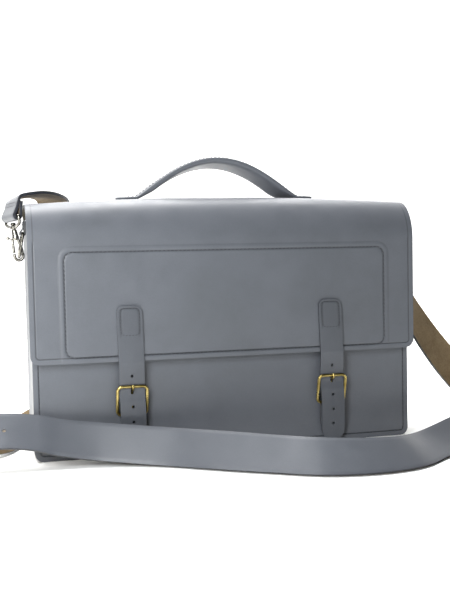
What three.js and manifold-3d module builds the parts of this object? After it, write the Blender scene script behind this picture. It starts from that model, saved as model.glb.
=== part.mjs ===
// Leather document case with a fold-over flap, two buckled billets, a carrying handle and a
// shoulder strap on two swivel snap hooks. Millimetres, +X to the viewer's right, +Y to the back,
// +Z up. The origin is the middle of the base, on the surface that the case stands on.
import * as THREE from 'three';
import Module from 'manifold-3d';
import { mergeVertices } from 'three/addons/utils/BufferGeometryUtils.js';

const wasm = await Module();
wasm.setup();

// Case body
const caseWidth = 400;
const caseHeight = 254;
const caseDepth = 90;
const bodyWall = 2.8;
const seatGap = 0.3;
const bodyCornerRadius = 9;
const frontPanelDrop = 18;
const gussetDrop = 14;
const gussetLip = 7;

// Back, top and flap, cut from one hide
const flapOverhang = 2.3;
const flapStandoff = 11;
const flapBottomHeight = 97;
const flapCornerRadius = 9;
const shoulderDepth = 33;
const shoulderDrop = 40;
const backTopRadius = 14;
const topRise = 6;

// Panel sewn to the inside of the flap
const pocketWall = 1.8;
const pocketWidth = 345;
const pocketTopDrop = 43.5;
const pocketBottomMargin = 2.5;
const pocketCornerRadius = 11;

// Billets and buckles
const billetWidth = 25.4;
const billetWall = 2.5;
const billetSpacing = 211;
const billetTopHeight = 152;
const billetTipHeight = 1.5;
const billetCornerRadius = 7;
const billetHoleDiameter = 3;
const billetHolePitch = 15.5;
const billetHoleCount = 5;
const prongHoleHeight = 66.5;
const billetLeanLeft = 3.2;
const billetLeanRight = 5.6;
const buckleWire = 3.2;
const buckleHeight = 29;
const buckleBarHeight = 71.5;
const buckleCornerRadius = 4.6;
const buckleSideClearance = 0.6;
const billetOutAtBar = 6.6;
const billetOutAboveBar = 8.2;
const billetOutBelowBar = 5.9;
const billetOutAtHeel = 8;
const billetOutAtTip = 3.2;
const prongWire = 2.2;
const knuckleWire = 1.6;
const chapeWall = 1.4;
const chapeWidth = 22;
const chapeLength = 24;
const knuckleSlot = 3.4;

// Handle
const handleSpan = 216;
const handleWidth = 27;
const handleArchSpan = 176;
const handleRise = 43.5;
const handleThickness = 6.6;
const handleFootThickness = 3.2;

// Side tabs, rings and snap hooks
const tabWall = 1.5;
const tabWidth = 24;
const tabRise = 12;
const ringBarDrop = 28;
const ringHeight = 24;
const ringSwing = 3.9;
const ringWire = 2.8;
const ringSideClearance = 1;
const hookWire = 3;
const jawInnerRadius = 2.6;
const jawLength = 17;
const noseLength = 3.2;
const gateWire = 2.6;
const gateSlot = 2.6;
const gateKnuckle = 2;
const gateKnuckleRadius = 1.9;
const hookBodyRadius = 3.5;
const hookBodyLength = 10.6;
const swivelStem = 3;
const swivelBore = 3.7;
const collarLength = 3.2;
const knobRadius = 2.7;
const knobLength = 3;
const eyeHeight = 11;
const eyeSideClearance = 0.75;
const eyeWire = 3;
const leftHookTilt = 8.5;
const rightHookTilt = 165;
const leftEyeTurn = 16;
const rightEyeTurn = 42;

// Shoulder strap
const strapWidth = 38;
const strapWall = 3;
const strapTail = 15;
const strapHoleDiameter = 4;

// Route of the shoulder strap from the left hook, behind and round the left end of the case, along
// the front and round the right end to the right hook. across and back place the middle of
// the strap as shares of half the case's width and half its depth, and lift is the height of its
// lower edge as a share of the case's height; turn and tip aim its upper edge, in degrees round
// from +X and up from level.
const strapRoute = [
  { across: -1.048, back: 0.045, lift: 1.014, turn: 104, tip: -6 },
  { across: -0.972, back: 0.22, lift: 1.033, turn: 108, tip: -4 },
  { across: -0.885, back: 0.667, lift: 1.036, turn: 122, tip: -2 },
  { across: -0.835, back: 1.155, lift: 1.016, turn: 138, tip: 0 },
  { across: -0.815, back: 1.52, lift: 0.948, turn: 152, tip: 0 },
  { across: -0.785, back: 1.68, lift: 0.794, turn: 176, tip: 0 },
  { across: -0.780, back: 1.7, lift: 0.591, turn: 180, tip: 2 },
  { across: -0.785, back: 1.72, lift: 0.399, turn: 180, tip: 12 },
  { across: -0.810, back: 1.76, lift: 0.205, turn: 178, tip: 30 },
  { across: -0.870, back: 1.77, lift: 0.055, turn: 170, tip: 38 },
  { across: -1.030, back: 1.5, lift: 0.007, turn: 142, tip: 30 },
  { across: -1.110, back: 0.82, lift: 0.006, turn: 155, tip: 40 },
  { across: -1.155, back: 0.13, lift: 0.006, turn: 150, tip: 66 },
  { across: -1.245, back: -0.45, lift: 0.019, turn: 120, tip: 84 },
  { across: -1.305, back: -0.98, lift: 0.043, turn: 90, tip: 80 },
  { across: -1.260, back: -1.42, lift: 0.072, turn: 88, tip: 60 },
  { across: -1.165, back: -1.46, lift: 0.088, turn: 88, tip: 48 },
  { across: -1.000, back: -1.49, lift: 0.072, turn: 86, tip: 51 },
  { across: -0.875, back: -1.56, lift: 0.045, turn: 78, tip: 55 },
  { across: -0.672, back: -1.73, lift: 0.02, turn: 64, tip: 61 },
  { across: -0.400, back: -2.19, lift: 0.004, turn: 54, tip: 60 },
  { across: -0.137, back: -2.99, lift: 0.004, turn: 54, tip: 56 },
  { across: 0.082, back: -3.6, lift: 0.004, turn: 62, tip: 50 },
  { across: 0.260, back: -4.05, lift: 0.004, turn: 78, tip: 48 },
  { across: 0.472, back: -4.21, lift: 0.004, turn: 92, tip: 44 },
  { across: 0.675, back: -4.02, lift: 0.004, turn: 106, tip: 38 },
  { across: 0.875, back: -3.36, lift: 0.004, turn: 122, tip: 31 },
  { across: 1.135, back: -2.62, lift: 0.004, turn: 128, tip: 45 },
  { across: 1.385, back: -1.82, lift: 0.004, turn: 134, tip: 66 },
  { across: 1.565, back: -0.95, lift: 0.015, turn: 150, tip: 84 },
  { across: 1.610, back: -0.2, lift: 0.05, turn: 30, tip: 80 },
  { across: 1.530, back: 0.18, lift: 0.095, turn: 20, tip: 56 },
  { across: 1.375, back: 0.2, lift: 0.226, turn: 24, tip: 42 },
  { across: 1.163, back: 0.06, lift: 0.449, turn: 38, tip: 29 },
];
const strapHoleAcross = -1.148;
const strapSteps = 116;

// Colours, roughness and metalness of the finishes
const finishes = {
  slateLeather: { color: 0x6f747e, roughness: 0.55, metalness: 0 },
  brass: { color: 0x9a8a55, roughness: 0.35, metalness: 1 },
  nickel: { color: 0xb9b9b4, roughness: 0.2, metalness: 1 },
};

const halfWidth = caseWidth / 2;
const halfDepth = caseDepth / 2;
const flapHalfWidth = halfWidth + flapOverhang;
const flapFrontY = -halfDepth - flapStandoff;
const degree = Math.PI / 180;
const frontPanelHeight = caseHeight - frontPanelDrop;
const gussetHeight = caseHeight - gussetDrop;
const pocketTopHeight = caseHeight - pocketTopDrop;
const ringBarHeight = caseHeight - ringBarDrop;
const tabTopHeight = ringBarHeight + tabRise;

const object = new THREE.Group();

function addPiece(name, geometry, finish, parent = object) {
  const mesh = new THREE.Mesh(geometry, new THREE.MeshStandardMaterial(finishes[finish]));
  mesh.name = name;
  parent.add(mesh);
  return mesh;
}

// A closed solid from points and triangles, with its faces turned outwards
function closedSolid(points, triangles) {
  let volume = 0;
  for (const [a, b, c] of triangles) {
    volume += points[a].dot(points[b].clone().cross(points[c]));
  }
  const facing = volume < 0 ? triangles.map(([a, b, c]) => [a, c, b]) : triangles;
  const geometry = new THREE.BufferGeometry();
  const places = points.flatMap((p) => [p.x, p.y, p.z]);
  geometry.setAttribute('position', new THREE.Float32BufferAttribute(places, 3));
  geometry.setIndex(facing.flat());
  return geometry;
}

// A wall between two grids of points with the same rows and columns
function wallBetween(outer, inner) {
  const rows = outer.length;
  const columns = outer[0].length;
  const points = [...outer.flat(), ...inner.flat()];
  const at = (side, row, column) => side * rows * columns + row * columns + column;
  const triangles = [];
  const quad = (a, b, c, d) => triangles.push([a, b, c], [a, c, d]);
  for (let r = 0; r + 1 < rows; r++) {
    for (let c = 0; c + 1 < columns; c++) {
      quad(at(0, r, c), at(0, r, c + 1), at(0, r + 1, c + 1), at(0, r + 1, c));
      quad(at(1, r, c), at(1, r + 1, c), at(1, r + 1, c + 1), at(1, r, c + 1));
    }
    quad(at(0, r, 0), at(0, r + 1, 0), at(1, r + 1, 0), at(1, r, 0));
    const last = columns - 1;
    quad(at(0, r + 1, last), at(0, r, last), at(1, r, last), at(1, r + 1, last));
  }
  for (let c = 0; c + 1 < columns; c++) {
    const end = rows - 1;
    quad(at(0, 0, c + 1), at(0, 0, c), at(1, 0, c), at(1, 0, c + 1));
    quad(at(0, end, c), at(0, end, c + 1), at(1, end, c + 1), at(1, end, c));
  }
  return closedSolid(points, triangles);
}

// A section polygon carried along stations; a station's place(u, v) puts a section point in space
function sweep(stations, outline, closed = false) {
  const contour = outline.map(([u, v]) => new THREE.Vector2(u, v));
  const section = THREE.ShapeUtils.isClockWise(contour) ? outline.slice().reverse() : outline;
  const count = section.length;
  const points = stations.flatMap((place) => section.map(([u, v]) => place(u, v)));
  const triangles = [];
  const links = closed ? stations.length : stations.length - 1;
  for (let s = 0; s < links; s++) {
    const here = s * count;
    const next = ((s + 1) % stations.length) * count;
    for (let k = 0; k < count; k++) {
      const k2 = (k + 1) % count;
      triangles.push([here + k, here + k2, next + k2], [here + k, next + k2, next + k]);
    }
  }
  if (!closed) {
    const caps = THREE.ShapeUtils.triangulateShape(section.map(([u, v]) => new THREE.Vector2(u, v)), []);
    const end = (stations.length - 1) * count;
    for (const [a, b, c] of caps) {
      triangles.push([a, c, b], [end + a, end + b, end + c]);
    }
  }
  return closedSolid(points, triangles);
}

function roundSection(radius, sides) {
  return Array.from({ length: sides }, (_, k) => {
    const angle = (k + 0.5) * 2 * Math.PI / sides;
    return [radius * Math.cos(angle), radius * Math.sin(angle)];
  });
}

// Stations of a bent wire that lies in one plane; across is the normal of that plane
function wireStations(path, across, closed) {
  const count = path.length;
  return path.map((p, i) => {
    const before = closed ? path[(i + count - 1) % count] : path[Math.max(i - 1, 0)];
    const after = closed ? path[(i + 1) % count] : path[Math.min(i + 1, count - 1)];
    const arrive = p.clone().sub(before).normalize();
    const leave = after.clone().sub(p).normalize();
    const tangent = arrive.clone().add(leave).normalize();
    const side = tangent.clone().cross(across).normalize();
    const turnHalf = leave.lengthSq() && arrive.lengthSq() ? arrive.dot(leave) : 1;
    const spread = 1 / Math.sqrt(Math.max((1 + turnHalf) / 2, 0.5));
    return (u, v) => p.clone().addScaledVector(side, u * spread).addScaledVector(across, v);
  });
}

function bentWire(path, across, diameter, { closed = false, sides = 8 } = {}) {
  return sweep(wireStations(path, across, closed), roundSection(diameter / 2, sides), closed);
}

// Points round an arc in a plane, as [first, second] coordinates
function arc(cx, cy, rx, ry, fromDegrees, toDegrees, steps) {
  return Array.from({ length: steps + 1 }, (_, i) => {
    const angle = (fromDegrees + (toDegrees - fromDegrees) * i / steps) * degree;
    return [cx + rx * Math.cos(angle), cy + ry * Math.sin(angle)];
  });
}

function toSolid(geometry) {
  const bare = geometry.clone();
  bare.deleteAttribute('normal');
  bare.deleteAttribute('uv');
  const merged = mergeVertices(bare, 1e-4);
  const mesh = new wasm.Mesh({
    numProp: 3,
    vertProperties: new Float32Array(merged.attributes.position.array),
    triVerts: new Uint32Array(merged.index.array),
  });
  return new wasm.Manifold(mesh);
}

function fromSolid(solid) {
  const mesh = solid.getMesh();
  const geometry = new THREE.BufferGeometry();
  geometry.setAttribute('position', new THREE.BufferAttribute(new Float32Array(mesh.vertProperties), 3));
  geometry.setIndex(new THREE.BufferAttribute(new Uint32Array(mesh.triVerts), 1));
  return geometry;
}

const join = (first, ...rest) => fromSolid(rest.reduce((sum, g) => sum.add(toSolid(g)), toSolid(first)));
const cut = (first, ...rest) => fromSolid(rest.reduce((sum, g) => sum.subtract(toSolid(g)), toSolid(first)));

function block(sizeX, sizeY, sizeZ, x, y, z) {
  return new THREE.BoxGeometry(sizeX, sizeY, sizeZ).translate(x, y, z);
}

// A round bar along +Z (default), +Y or +X
function roundBar(radius, length, x, y, z, along = 'z', sides = 12) {
  const bar = new THREE.CylinderGeometry(radius, radius, length, sides);
  if (along === 'z') bar.rotateX(Math.PI / 2);
  if (along === 'x') bar.rotateZ(Math.PI / 2);
  return bar.translate(x, y, z);
}

// Half the width of a panel whose lower or upper corners are rounded, at a distance from its end
function roundedHalfWidth(fullHalf, radius, fromEnd) {
  const into = Math.max(radius - fromEnd, 0);
  return fullHalf - radius + Math.sqrt(Math.max(radius * radius - into * into, 0));
}

// Distances from a rounded end at which a panel needs a row
function cornerRows(radius, steps = 5) {
  return Array.from({ length: steps + 1 }, (_, i) => radius * (1 - Math.cos(i / steps * Math.PI / 2)));
}

// How far the leather stands proud in the middle of a span, 1 at the middle and 0 at its ends
const crown = (x, half) => 1 - Math.min(Math.abs(x) / half, 1) ** 2;

// Height of the upper face of the top at a place across the case
const topHeightAt = (x) => caseHeight + topRise * crown(x, flapHalfWidth);

function makeFrontPanel() {
  const columns = 8;
  const heights = [...cornerRows(bodyCornerRadius), frontPanelHeight / 2, frontPanelHeight];
  const grid = (y) => heights.map((z) => {
    const half = roundedHalfWidth(halfWidth, bodyCornerRadius, z);
    const share = (c) => 2 * c / columns - 1;
    return Array.from({ length: columns + 1 }, (_, c) => new THREE.Vector3(half * share(c), y, z));
  });
  return wallBetween(grid(-halfDepth), grid(-halfDepth + bodyWall));
}

// A place on the case's rounded bottom corner, with its direction in to the corner's centre
function inward(x, z, centreX) {
  const away = new THREE.Vector2(centreX - x, bodyCornerRadius - z).normalize();
  return { x, z, inX: away.x, inZ: away.y };
}

// U-shaped strip that forms both ends and the base, with turned lips for the panels' seams
function makeGusset() {
  const reach = halfDepth - bodyWall - seatGap;
  const section = [
    [0, -reach], [0, reach], [gussetLip, reach], [gussetLip, reach - bodyWall],
    [bodyWall, reach - bodyWall], [bodyWall, bodyWall - reach],
    [gussetLip, bodyWall - reach], [gussetLip, -reach],
  ];
  const straightFrom = halfWidth - bodyCornerRadius;
  const path = [
    { x: -halfWidth, z: gussetHeight, inX: 1, inZ: 0 },
    { x: -halfWidth, z: gussetHeight / 2, inX: 1, inZ: 0 },
    ...arc(-straightFrom, bodyCornerRadius, bodyCornerRadius, bodyCornerRadius, 180, 270, 5)
      .map(([x, z]) => inward(x, z, -straightFrom)),
    ...arc(straightFrom, bodyCornerRadius, bodyCornerRadius, bodyCornerRadius, 270, 360, 5)
      .map(([x, z]) => inward(x, z, straightFrom)),
    { x: halfWidth, z: gussetHeight / 2, inX: -1, inZ: 0 },
    { x: halfWidth, z: gussetHeight, inX: -1, inZ: 0 },
  ];
  const stations = path.map(({ x, z, inX, inZ }) => (u, v) => (
    new THREE.Vector3(x + u * inX, v, z + u * inZ)
  ));
  return sweep(stations, section);
}

// Outer profile of the back, top and flap in the Y-Z plane, from the base of the back to the
// flap's lower edge; rise is the share of the top's crown that a row takes
function flapProfile() {
  const profile = [];
  const add = (y, z, normalY, normalZ, half, rise) => profile.push({ y, z, normalY, normalZ, half, rise });
  for (const z of cornerRows(bodyCornerRadius)) {
    add(halfDepth, z, 1, 0, roundedHalfWidth(halfWidth, bodyCornerRadius, z), 0);
  }
  const backStraight = caseHeight - backTopRadius;
  add(halfDepth, backStraight / 2, 1, 0, halfWidth, 0);
  for (const angle of [0, 22.5, 45, 67.5, 90]) {
    const across = Math.cos(angle * degree);
    const up = Math.sin(angle * degree);
    add(halfDepth - backTopRadius + backTopRadius * across, backStraight + backTopRadius * up,
      across, up, halfWidth + flapOverhang * up, up * up);
  }
  add((halfDepth - backTopRadius + flapFrontY + shoulderDepth) / 2, caseHeight, 0, 1, flapHalfWidth, 1);
  const shoulderSteps = 8;
  for (let i = 0; i <= shoulderSteps; i++) {
    const angle = Math.PI / 2 * i / shoulderSteps;
    const forward = Math.sin(angle);
    const up = Math.cos(angle);
    const normal = new THREE.Vector2(-forward / shoulderDepth, up / shoulderDrop).normalize();
    add(flapFrontY + shoulderDepth - shoulderDepth * forward, caseHeight - shoulderDrop + shoulderDrop * up,
      normal.x, normal.y, flapHalfWidth, up);
  }
  const straightTop = caseHeight - shoulderDrop;
  add(flapFrontY, (straightTop + flapBottomHeight) / 2, -1, 0, flapHalfWidth, 0);
  for (const z of cornerRows(flapCornerRadius).reverse()) {
    add(flapFrontY, flapBottomHeight + z, -1, 0, roundedHalfWidth(flapHalfWidth, flapCornerRadius, z), 0);
  }
  return profile;
}

function makeBackAndFlap() {
  const columns = 14;
  const grid = (depth) => flapProfile().map(({ y, z, normalY, normalZ, half, rise }) => (
    Array.from({ length: columns + 1 }, (_, c) => {
      const x = half * (2 * c / columns - 1);
      const lift = rise * (topHeightAt(x) - caseHeight);
      return new THREE.Vector3(x, y - depth * normalY, z + lift - depth * normalZ);
    })
  ));
  return wallBetween(grid(0), grid(bodyWall));
}

function makeFlapPocket() {
  const columns = 10;
  const bottom = flapBottomHeight + pocketBottomMargin;
  const middle = (bottom + pocketTopHeight) / 2;
  const cornerHeights = cornerRows(pocketCornerRadius).reverse().map((d) => pocketTopHeight - d);
  const heights = [bottom, middle, ...cornerHeights];
  const grid = (depth) => heights.map((z) => {
    const half = roundedHalfWidth(pocketWidth / 2, pocketCornerRadius, pocketTopHeight - z);
    return Array.from({ length: columns + 1 }, (_, c) => {
      const x = half * (2 * c / columns - 1);
      return new THREE.Vector3(x, flapFrontY + bodyWall + seatGap + depth, z);
    });
  });
  return wallBetween(grid(0), grid(pocketWall));
}

// Where the back face of a billet runs, as its distance in front of the case's front panel
function billetCourse() {
  const onFlap = flapStandoff + seatGap;
  const bar = buckleBarHeight;
  return [
    { z: billetTopHeight, out: onFlap },
    { z: flapBottomHeight - 1.5, out: onFlap },
    { z: flapBottomHeight - 8, out: onFlap - 1.2 },
    { z: bar + 8, out: billetOutAboveBar },
    { z: bar, out: billetOutAtBar },
    { z: bar - 6, out: billetOutBelowBar },
    { z: bar - 14, out: billetOutAtHeel - 0.6 },
    { z: bar - buckleHeight, out: billetOutAtHeel },
    { z: bar - buckleHeight - 12, out: billetOutAtHeel - 1.4 },
    { z: billetTipHeight + 12, out: billetOutAtTip + 1.2 },
    { z: billetTipHeight, out: billetOutAtTip },
  ];
}

// Value of a column of a course at a height, by straight lines between its rows
function courseAt(course, z) {
  for (let i = 0; i + 1 < course.length; i++) {
    const upper = course[i];
    const lower = course[i + 1];
    if (z <= upper.z && z >= lower.z) {
      return THREE.MathUtils.mapLinear(z, lower.z, upper.z, lower.out, upper.out);
    }
  }
  return course[course.length - 1].out;
}

function makeBillet(middleX, lean, prong) {
  const course = billetCourse();
  const half = billetWidth / 2;
  const length = billetTopHeight - billetTipHeight;
  const heights = [
    ...cornerRows(billetCornerRadius, 4).map((d) => billetTopHeight - d),
    ...course.slice(1, -2).map((row) => row.z),
    ...cornerRows(half, 5).reverse().map((d) => billetTipHeight + d),
  ];
  const leanAt = (z) => middleX + lean * (billetTopHeight - z) / length;
  const grid = (depth) => heights.map((z) => {
    const fromTop = roundedHalfWidth(half, billetCornerRadius, billetTopHeight - z);
    const width = Math.min(fromTop, roundedHalfWidth(half, half - 0.5, z - billetTipHeight));
    const y = -halfDepth - courseAt(course, z) - depth;
    return [-1, 0, 1].map((side) => new THREE.Vector3(leanAt(z) + side * width, y, z));
  });
  const holes = [];
  for (let i = 0; i < billetHoleCount; i++) {
    const z = prongHoleHeight + billetHolePitch * (1 - i);
    if (i === 1) continue;
    holes.push(roundBar(billetHoleDiameter / 2, 20, leanAt(z), -halfDepth - 8, z, 'y', 10));
  }
  return cut(wallBetween(grid(billetWall), grid(0)), ...holes, prong);
}

// Middle of the buckle's heel bar and of its front bar, in the Y-Z plane
const heelBarY = -halfDepth - seatGap - chapeWall - seatGap - buckleWire / 2 - 0.3;
const heelBarZ = buckleBarHeight - buckleHeight;
const frontBarY = -halfDepth - billetOutAtBar - billetWall - seatGap - buckleWire / 2;

function makeBuckleFrame(middleX) {
  const half = billetWidth / 2 + buckleSideClearance + buckleWire / 2;
  const radius = buckleCornerRadius;
  const outline = [
    ...arc(half - radius, buckleHeight - radius, radius, radius, 0, 90, 4),
    ...arc(-half + radius, buckleHeight - radius, radius, radius, 90, 180, 4),
    ...arc(-half + radius, radius, radius, radius, 180, 270, 4),
    ...arc(half - radius, radius, radius, radius, 270, 360, 4),
  ];
  const rise = new THREE.Vector3(0, frontBarY - heelBarY, buckleHeight).normalize();
  const stretch = Math.hypot(frontBarY - heelBarY, buckleHeight) / buckleHeight;
  const heel = new THREE.Vector3(middleX, heelBarY, heelBarZ);
  const path = outline.map(([u, v]) => heel.clone().addScaledVector(rise, v * stretch).setX(middleX + u));
  const across = new THREE.Vector3(1, 0, 0).cross(rise).normalize();
  return bentWire(path, across, buckleWire, { closed: true, sides: 8 });
}

function makeProng(middleX, extra = 0) {
  const reach = buckleWire / 2 + seatGap + prongWire / 2;
  const tipY = frontBarY - reach;
  const underY = -halfDepth - 3.9;
  const points = [
    [heelBarY - 0.6, heelBarZ + 3.1],
    [underY - 0.4, heelBarZ + 8],
    [underY, prongHoleHeight - 6],
    [underY - 1.6, prongHoleHeight - 1.8],
    [-halfDepth - 7.2, prongHoleHeight + 0.3],
    [tipY + 1.6, prongHoleHeight + 2.1],
    [tipY - 0.1, buckleBarHeight - 0.9],
    [tipY + 0.15, buckleBarHeight + 2.2],
  ];
  const path = points.map(([y, z]) => new THREE.Vector3(middleX, y, z));
  const shank = bentWire(path, new THREE.Vector3(1, 0, 0), prongWire + 2 * extra, { sides: 8 });
  if (extra) return shank;
  const ringRadius = buckleWire / 2 + seatGap + knuckleWire / 2;
  const ring = arc(heelBarY, heelBarZ, ringRadius, ringRadius, 0, 330, 11)
    .map(([y, z]) => new THREE.Vector3(middleX, y, z));
  const knuckle = bentWire(ring, new THREE.Vector3(1, 0, 0), knuckleWire, { closed: true, sides: 6 });
  return join(knuckle, shank);
}

// Tab folded round the heel bar, its two layers sewn to the front panel
function makeChape(middleX) {
  const inner = buckleWire / 2 + seatGap;
  const outer = inner + chapeWall;
  const backY = heelBarY + outer;
  const tailBottom = heelBarZ - chapeLength;
  const profile = new THREE.Shape();
  const outline = [
    ...arc(heelBarY, heelBarZ, outer, outer, 0, 180, 8),
    ...arc(heelBarY, heelBarZ, outer, outer, 180, 230, 3),
    [backY - 2 * chapeWall, heelBarZ - outer - 1.4],
    [backY - 2 * chapeWall, tailBottom],
    [backY, tailBottom],
  ];
  outline.forEach(([y, z], i) => (i ? profile.lineTo(y, z) : profile.moveTo(y, z)));
  const bore = new THREE.Path();
  arc(heelBarY, heelBarZ, inner, inner, 330, 0, 11).forEach(([y, z], i) => (
    i ? bore.lineTo(y, z) : bore.moveTo(y, z)
  ));
  profile.holes.push(bore);
  const tab = new THREE.ExtrudeGeometry(profile, { depth: chapeWidth, bevelEnabled: false, steps: 1 });
  tab.applyMatrix4(new THREE.Matrix4().set(
    0, 0, 1, middleX - chapeWidth / 2,
    1, 0, 0, 0,
    0, 1, 0, 0,
    0, 0, 0, 1,
  ));
  const slot = block(knuckleSlot, 20, 20, middleX, heelBarY, heelBarZ + 10 - inner - knuckleWire - seatGap);
  return cut(tab, slot);
}

function makeHandle() {
  const half = handleSpan / 2;
  const archHalf = handleArchSpan / 2;
  const shares = [1, 0.97, 0.9, 0.82, 0.76, 0.7, 0.63, 0.55, 0.46, 0.36, 0.25, 0.13, 0];
  const stops = [...shares.map((s) => -s), ...shares.slice(0, -1).reverse()].map((s) => s * half);
  const topOf = (x) => {
    const arch = Math.max(1 - (x / archHalf) ** 2, 0) ** 1.15;
    return topHeightAt(x) + seatGap + handleFootThickness + (handleRise - handleFootThickness) * arch;
  };
  const thicknessAt = (x) => THREE.MathUtils.lerp(handleFootThickness, handleThickness,
    THREE.MathUtils.smoothstep(archHalf + 4 - Math.abs(x), 0, 22));
  const stations = stops.map((x) => {
    const slope = (topOf(x + 0.5) - topOf(x - 0.5));
    const normal = new THREE.Vector2(-slope, 1).normalize();
    const end = Math.abs(x) > half - 1;
    const widthShare = end ? 0.62 : 1;
    return (u, v) => {
      const depth = v * thicknessAt(x);
      return new THREE.Vector3(x - depth * normal.x, u * widthShare, topOf(x) - depth * normal.y);
    };
  });
  const edge = handleWidth / 2;
  return sweep(stations, [[-edge, 0], [edge, 0], [edge, 1], [-edge, 1]]);
}

// Tab sewn high on an end of the case, folded round the straight side of its ring
function makeRingTab(side) {
  const inner = ringWire / 2 + seatGap;
  const outer = inner + tabWall;
  const wallX = halfWidth + seatGap;
  const middleX = wallX + outer;
  const profile = new THREE.Shape();
  const outline = [
    [wallX, tabTopHeight], [wallX, ringBarHeight],
    ...arc(middleX, ringBarHeight, outer, outer, 180, 360, 8).slice(1),
    ...arc(middleX, ringBarHeight, outer, outer, 0, 50, 3).slice(1),
    [wallX + 2 * tabWall, ringBarHeight + outer + 1.5],
    [wallX + 2 * tabWall, tabTopHeight],
  ];
  outline.forEach(([x, z], i) => (i ? profile.lineTo(x, z) : profile.moveTo(x, z)));
  const bore = new THREE.Path();
  arc(middleX, ringBarHeight, inner, inner, 330, 0, 11).forEach(([x, z], i) => (
    i ? bore.lineTo(x, z) : bore.moveTo(x, z)
  ));
  profile.holes.push(bore);
  const tab = new THREE.ExtrudeGeometry(profile, { depth: tabWidth, bevelEnabled: false, steps: 1 });
  tab.applyMatrix4(new THREE.Matrix4().set(
    side, 0, 0, 0,
    0, 0, -side, side * tabWidth / 2,
    0, 1, 0, 0,
    0, 0, 0, 1,
  ));
  return tab;
}

const ringTopX = halfWidth + seatGap + ringWire / 2 + seatGap + tabWall;
const ringBottomX = ringTopX + ringSwing;
const ringBottomZ = ringBarHeight - ringHeight;

function makeRing(side) {
  const half = tabWidth / 2 + ringSideClearance + ringWire / 2;
  const corner = 2.5;
  const shoulder = ringHeight * 0.48;
  const outline = [
    ...arc(half - corner, -corner, corner, corner, 0, 90, 3),
    ...arc(-half + corner, -corner, corner, corner, 90, 180, 3),
    ...arc(0, -shoulder, half, ringHeight - shoulder, 180, 360, 12),
  ];
  const drop = new THREE.Vector3(side * ringSwing, 0, -ringHeight).normalize();
  const stretch = Math.hypot(ringSwing, ringHeight) / ringHeight;
  const top = new THREE.Vector3(side * ringTopX, 0, ringBarHeight);
  const path = outline.map(([y, v]) => top.clone().addScaledVector(drop, -v * stretch).setY(y));
  const across = new THREE.Vector3(0, 1, 0).cross(drop).normalize();
  return bentWire(path, across, ringWire, { closed: true, sides: 8 });
}

// A snap hook in its own frame: the ring's bar lies along Y in the jaw, the swivel and the eye
// are up the Z axis, and the gate is on the +X side
const jawRadius = jawInnerRadius + hookWire / 2;
const jawCentreZ = jawInnerRadius - ringWire / 2 - seatGap;
const gatePivotX = 3.1;
const gatePivotZ = jawCentreZ + jawLength + 0.4;
const bodyTopZ = jawCentreZ + jawLength + hookBodyLength;
const collarZ = bodyTopZ + seatGap;
const knobZ = collarZ + collarLength + seatGap;
const eyeBarZ = collarZ + collarLength / 2 + eyeHeight;

function makeHookBody() {
  const spineTop = jawCentreZ + jawLength;
  const flat = new THREE.Vector3(0, 1, 0);
  const path = [
    [-1.4, spineTop + 1], [-2.6, spineTop - 2.5], [-3.7, spineTop - 7], [-jawRadius, spineTop - 12],
    ...arc(0, jawCentreZ, jawRadius, jawRadius, 180, 360, 10),
    [jawRadius - 0.1, jawCentreZ + noseLength],
  ].map(([x, z]) => new THREE.Vector3(x, 0, z));
  const jaw = bentWire(path, flat, hookWire, { sides: 8 });
  const base = spineTop - 0.6;
  const profile = [
    [0, base], [hookBodyRadius - 1, base], [hookBodyRadius, base + 1.2], [hookBodyRadius, base + 3],
    [hookBodyRadius - 1, bodyTopZ - 1.2], [hookBodyRadius - 1.6, bodyTopZ], [swivelStem / 2, bodyTopZ],
    [swivelStem / 2, knobZ], [knobRadius - 0.6, knobZ], [knobRadius, knobZ + 0.7],
    [knobRadius, knobZ + knobLength - 1], [knobRadius - 1.1, knobZ + knobLength], [0, knobZ + knobLength],
  ].map(([r, z]) => new THREE.Vector2(r, z));
  const turned = new THREE.LatheGeometry(profile, 14).rotateX(Math.PI / 2);
  const slot = block(10, gateSlot, 9, gatePivotX + 5 - gateKnuckleRadius - 0.4, 0, gatePivotZ);
  const pin = roundBar(0.6, gateSlot + 3, gatePivotX, 0, gatePivotZ, 'y', 8);
  const cheeks = block(3.6, gateSlot + 2.4, 3.8, gatePivotX - 0.4, 0, gatePivotZ);
  return fromSolid(
    toSolid(turned).add(toSolid(cheeks)).subtract(toSolid(slot)).add(toSolid(jaw)).add(toSolid(pin)),
  );
}

function makeGate() {
  const lower = jawCentreZ + noseLength + 0.5;
  const path = [[jawRadius - 0.1, lower], [gatePivotX + 0.5, gatePivotZ - 4], [gatePivotX, gatePivotZ]]
    .map(([x, z]) => new THREE.Vector3(x, 0, z));
  const bar = bentWire(path, new THREE.Vector3(0, 1, 0), gateWire, { sides: 8 });
  const flatBar = toSolid(bar).intersect(toSolid(block(20, gateKnuckle, 60, 0, 0, gatePivotZ - 10)));
  const knuckle = roundBar(gateKnuckleRadius, gateKnuckle, gatePivotX, 0, gatePivotZ, 'y', 12);
  const pinHole = roundBar(0.9, gateKnuckle + 2, gatePivotX, 0, gatePivotZ, 'y', 10);
  const lever = bentWire([[gatePivotX, gatePivotZ], [gatePivotX + 4.1, gatePivotZ + 2]]
    .map(([x, z]) => new THREE.Vector3(x, 0, z)), new THREE.Vector3(0, 1, 0), 1.6, { sides: 6 });
  const knob = new THREE.SphereGeometry(1.7, 10, 7).translate(gatePivotX + 4.6, 0, gatePivotZ + 2.2);
  return fromSolid(
    flatBar.add(toSolid(knuckle)).add(toSolid(lever)).add(toSolid(knob)).subtract(toSolid(pinHole)),
  );
}

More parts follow.
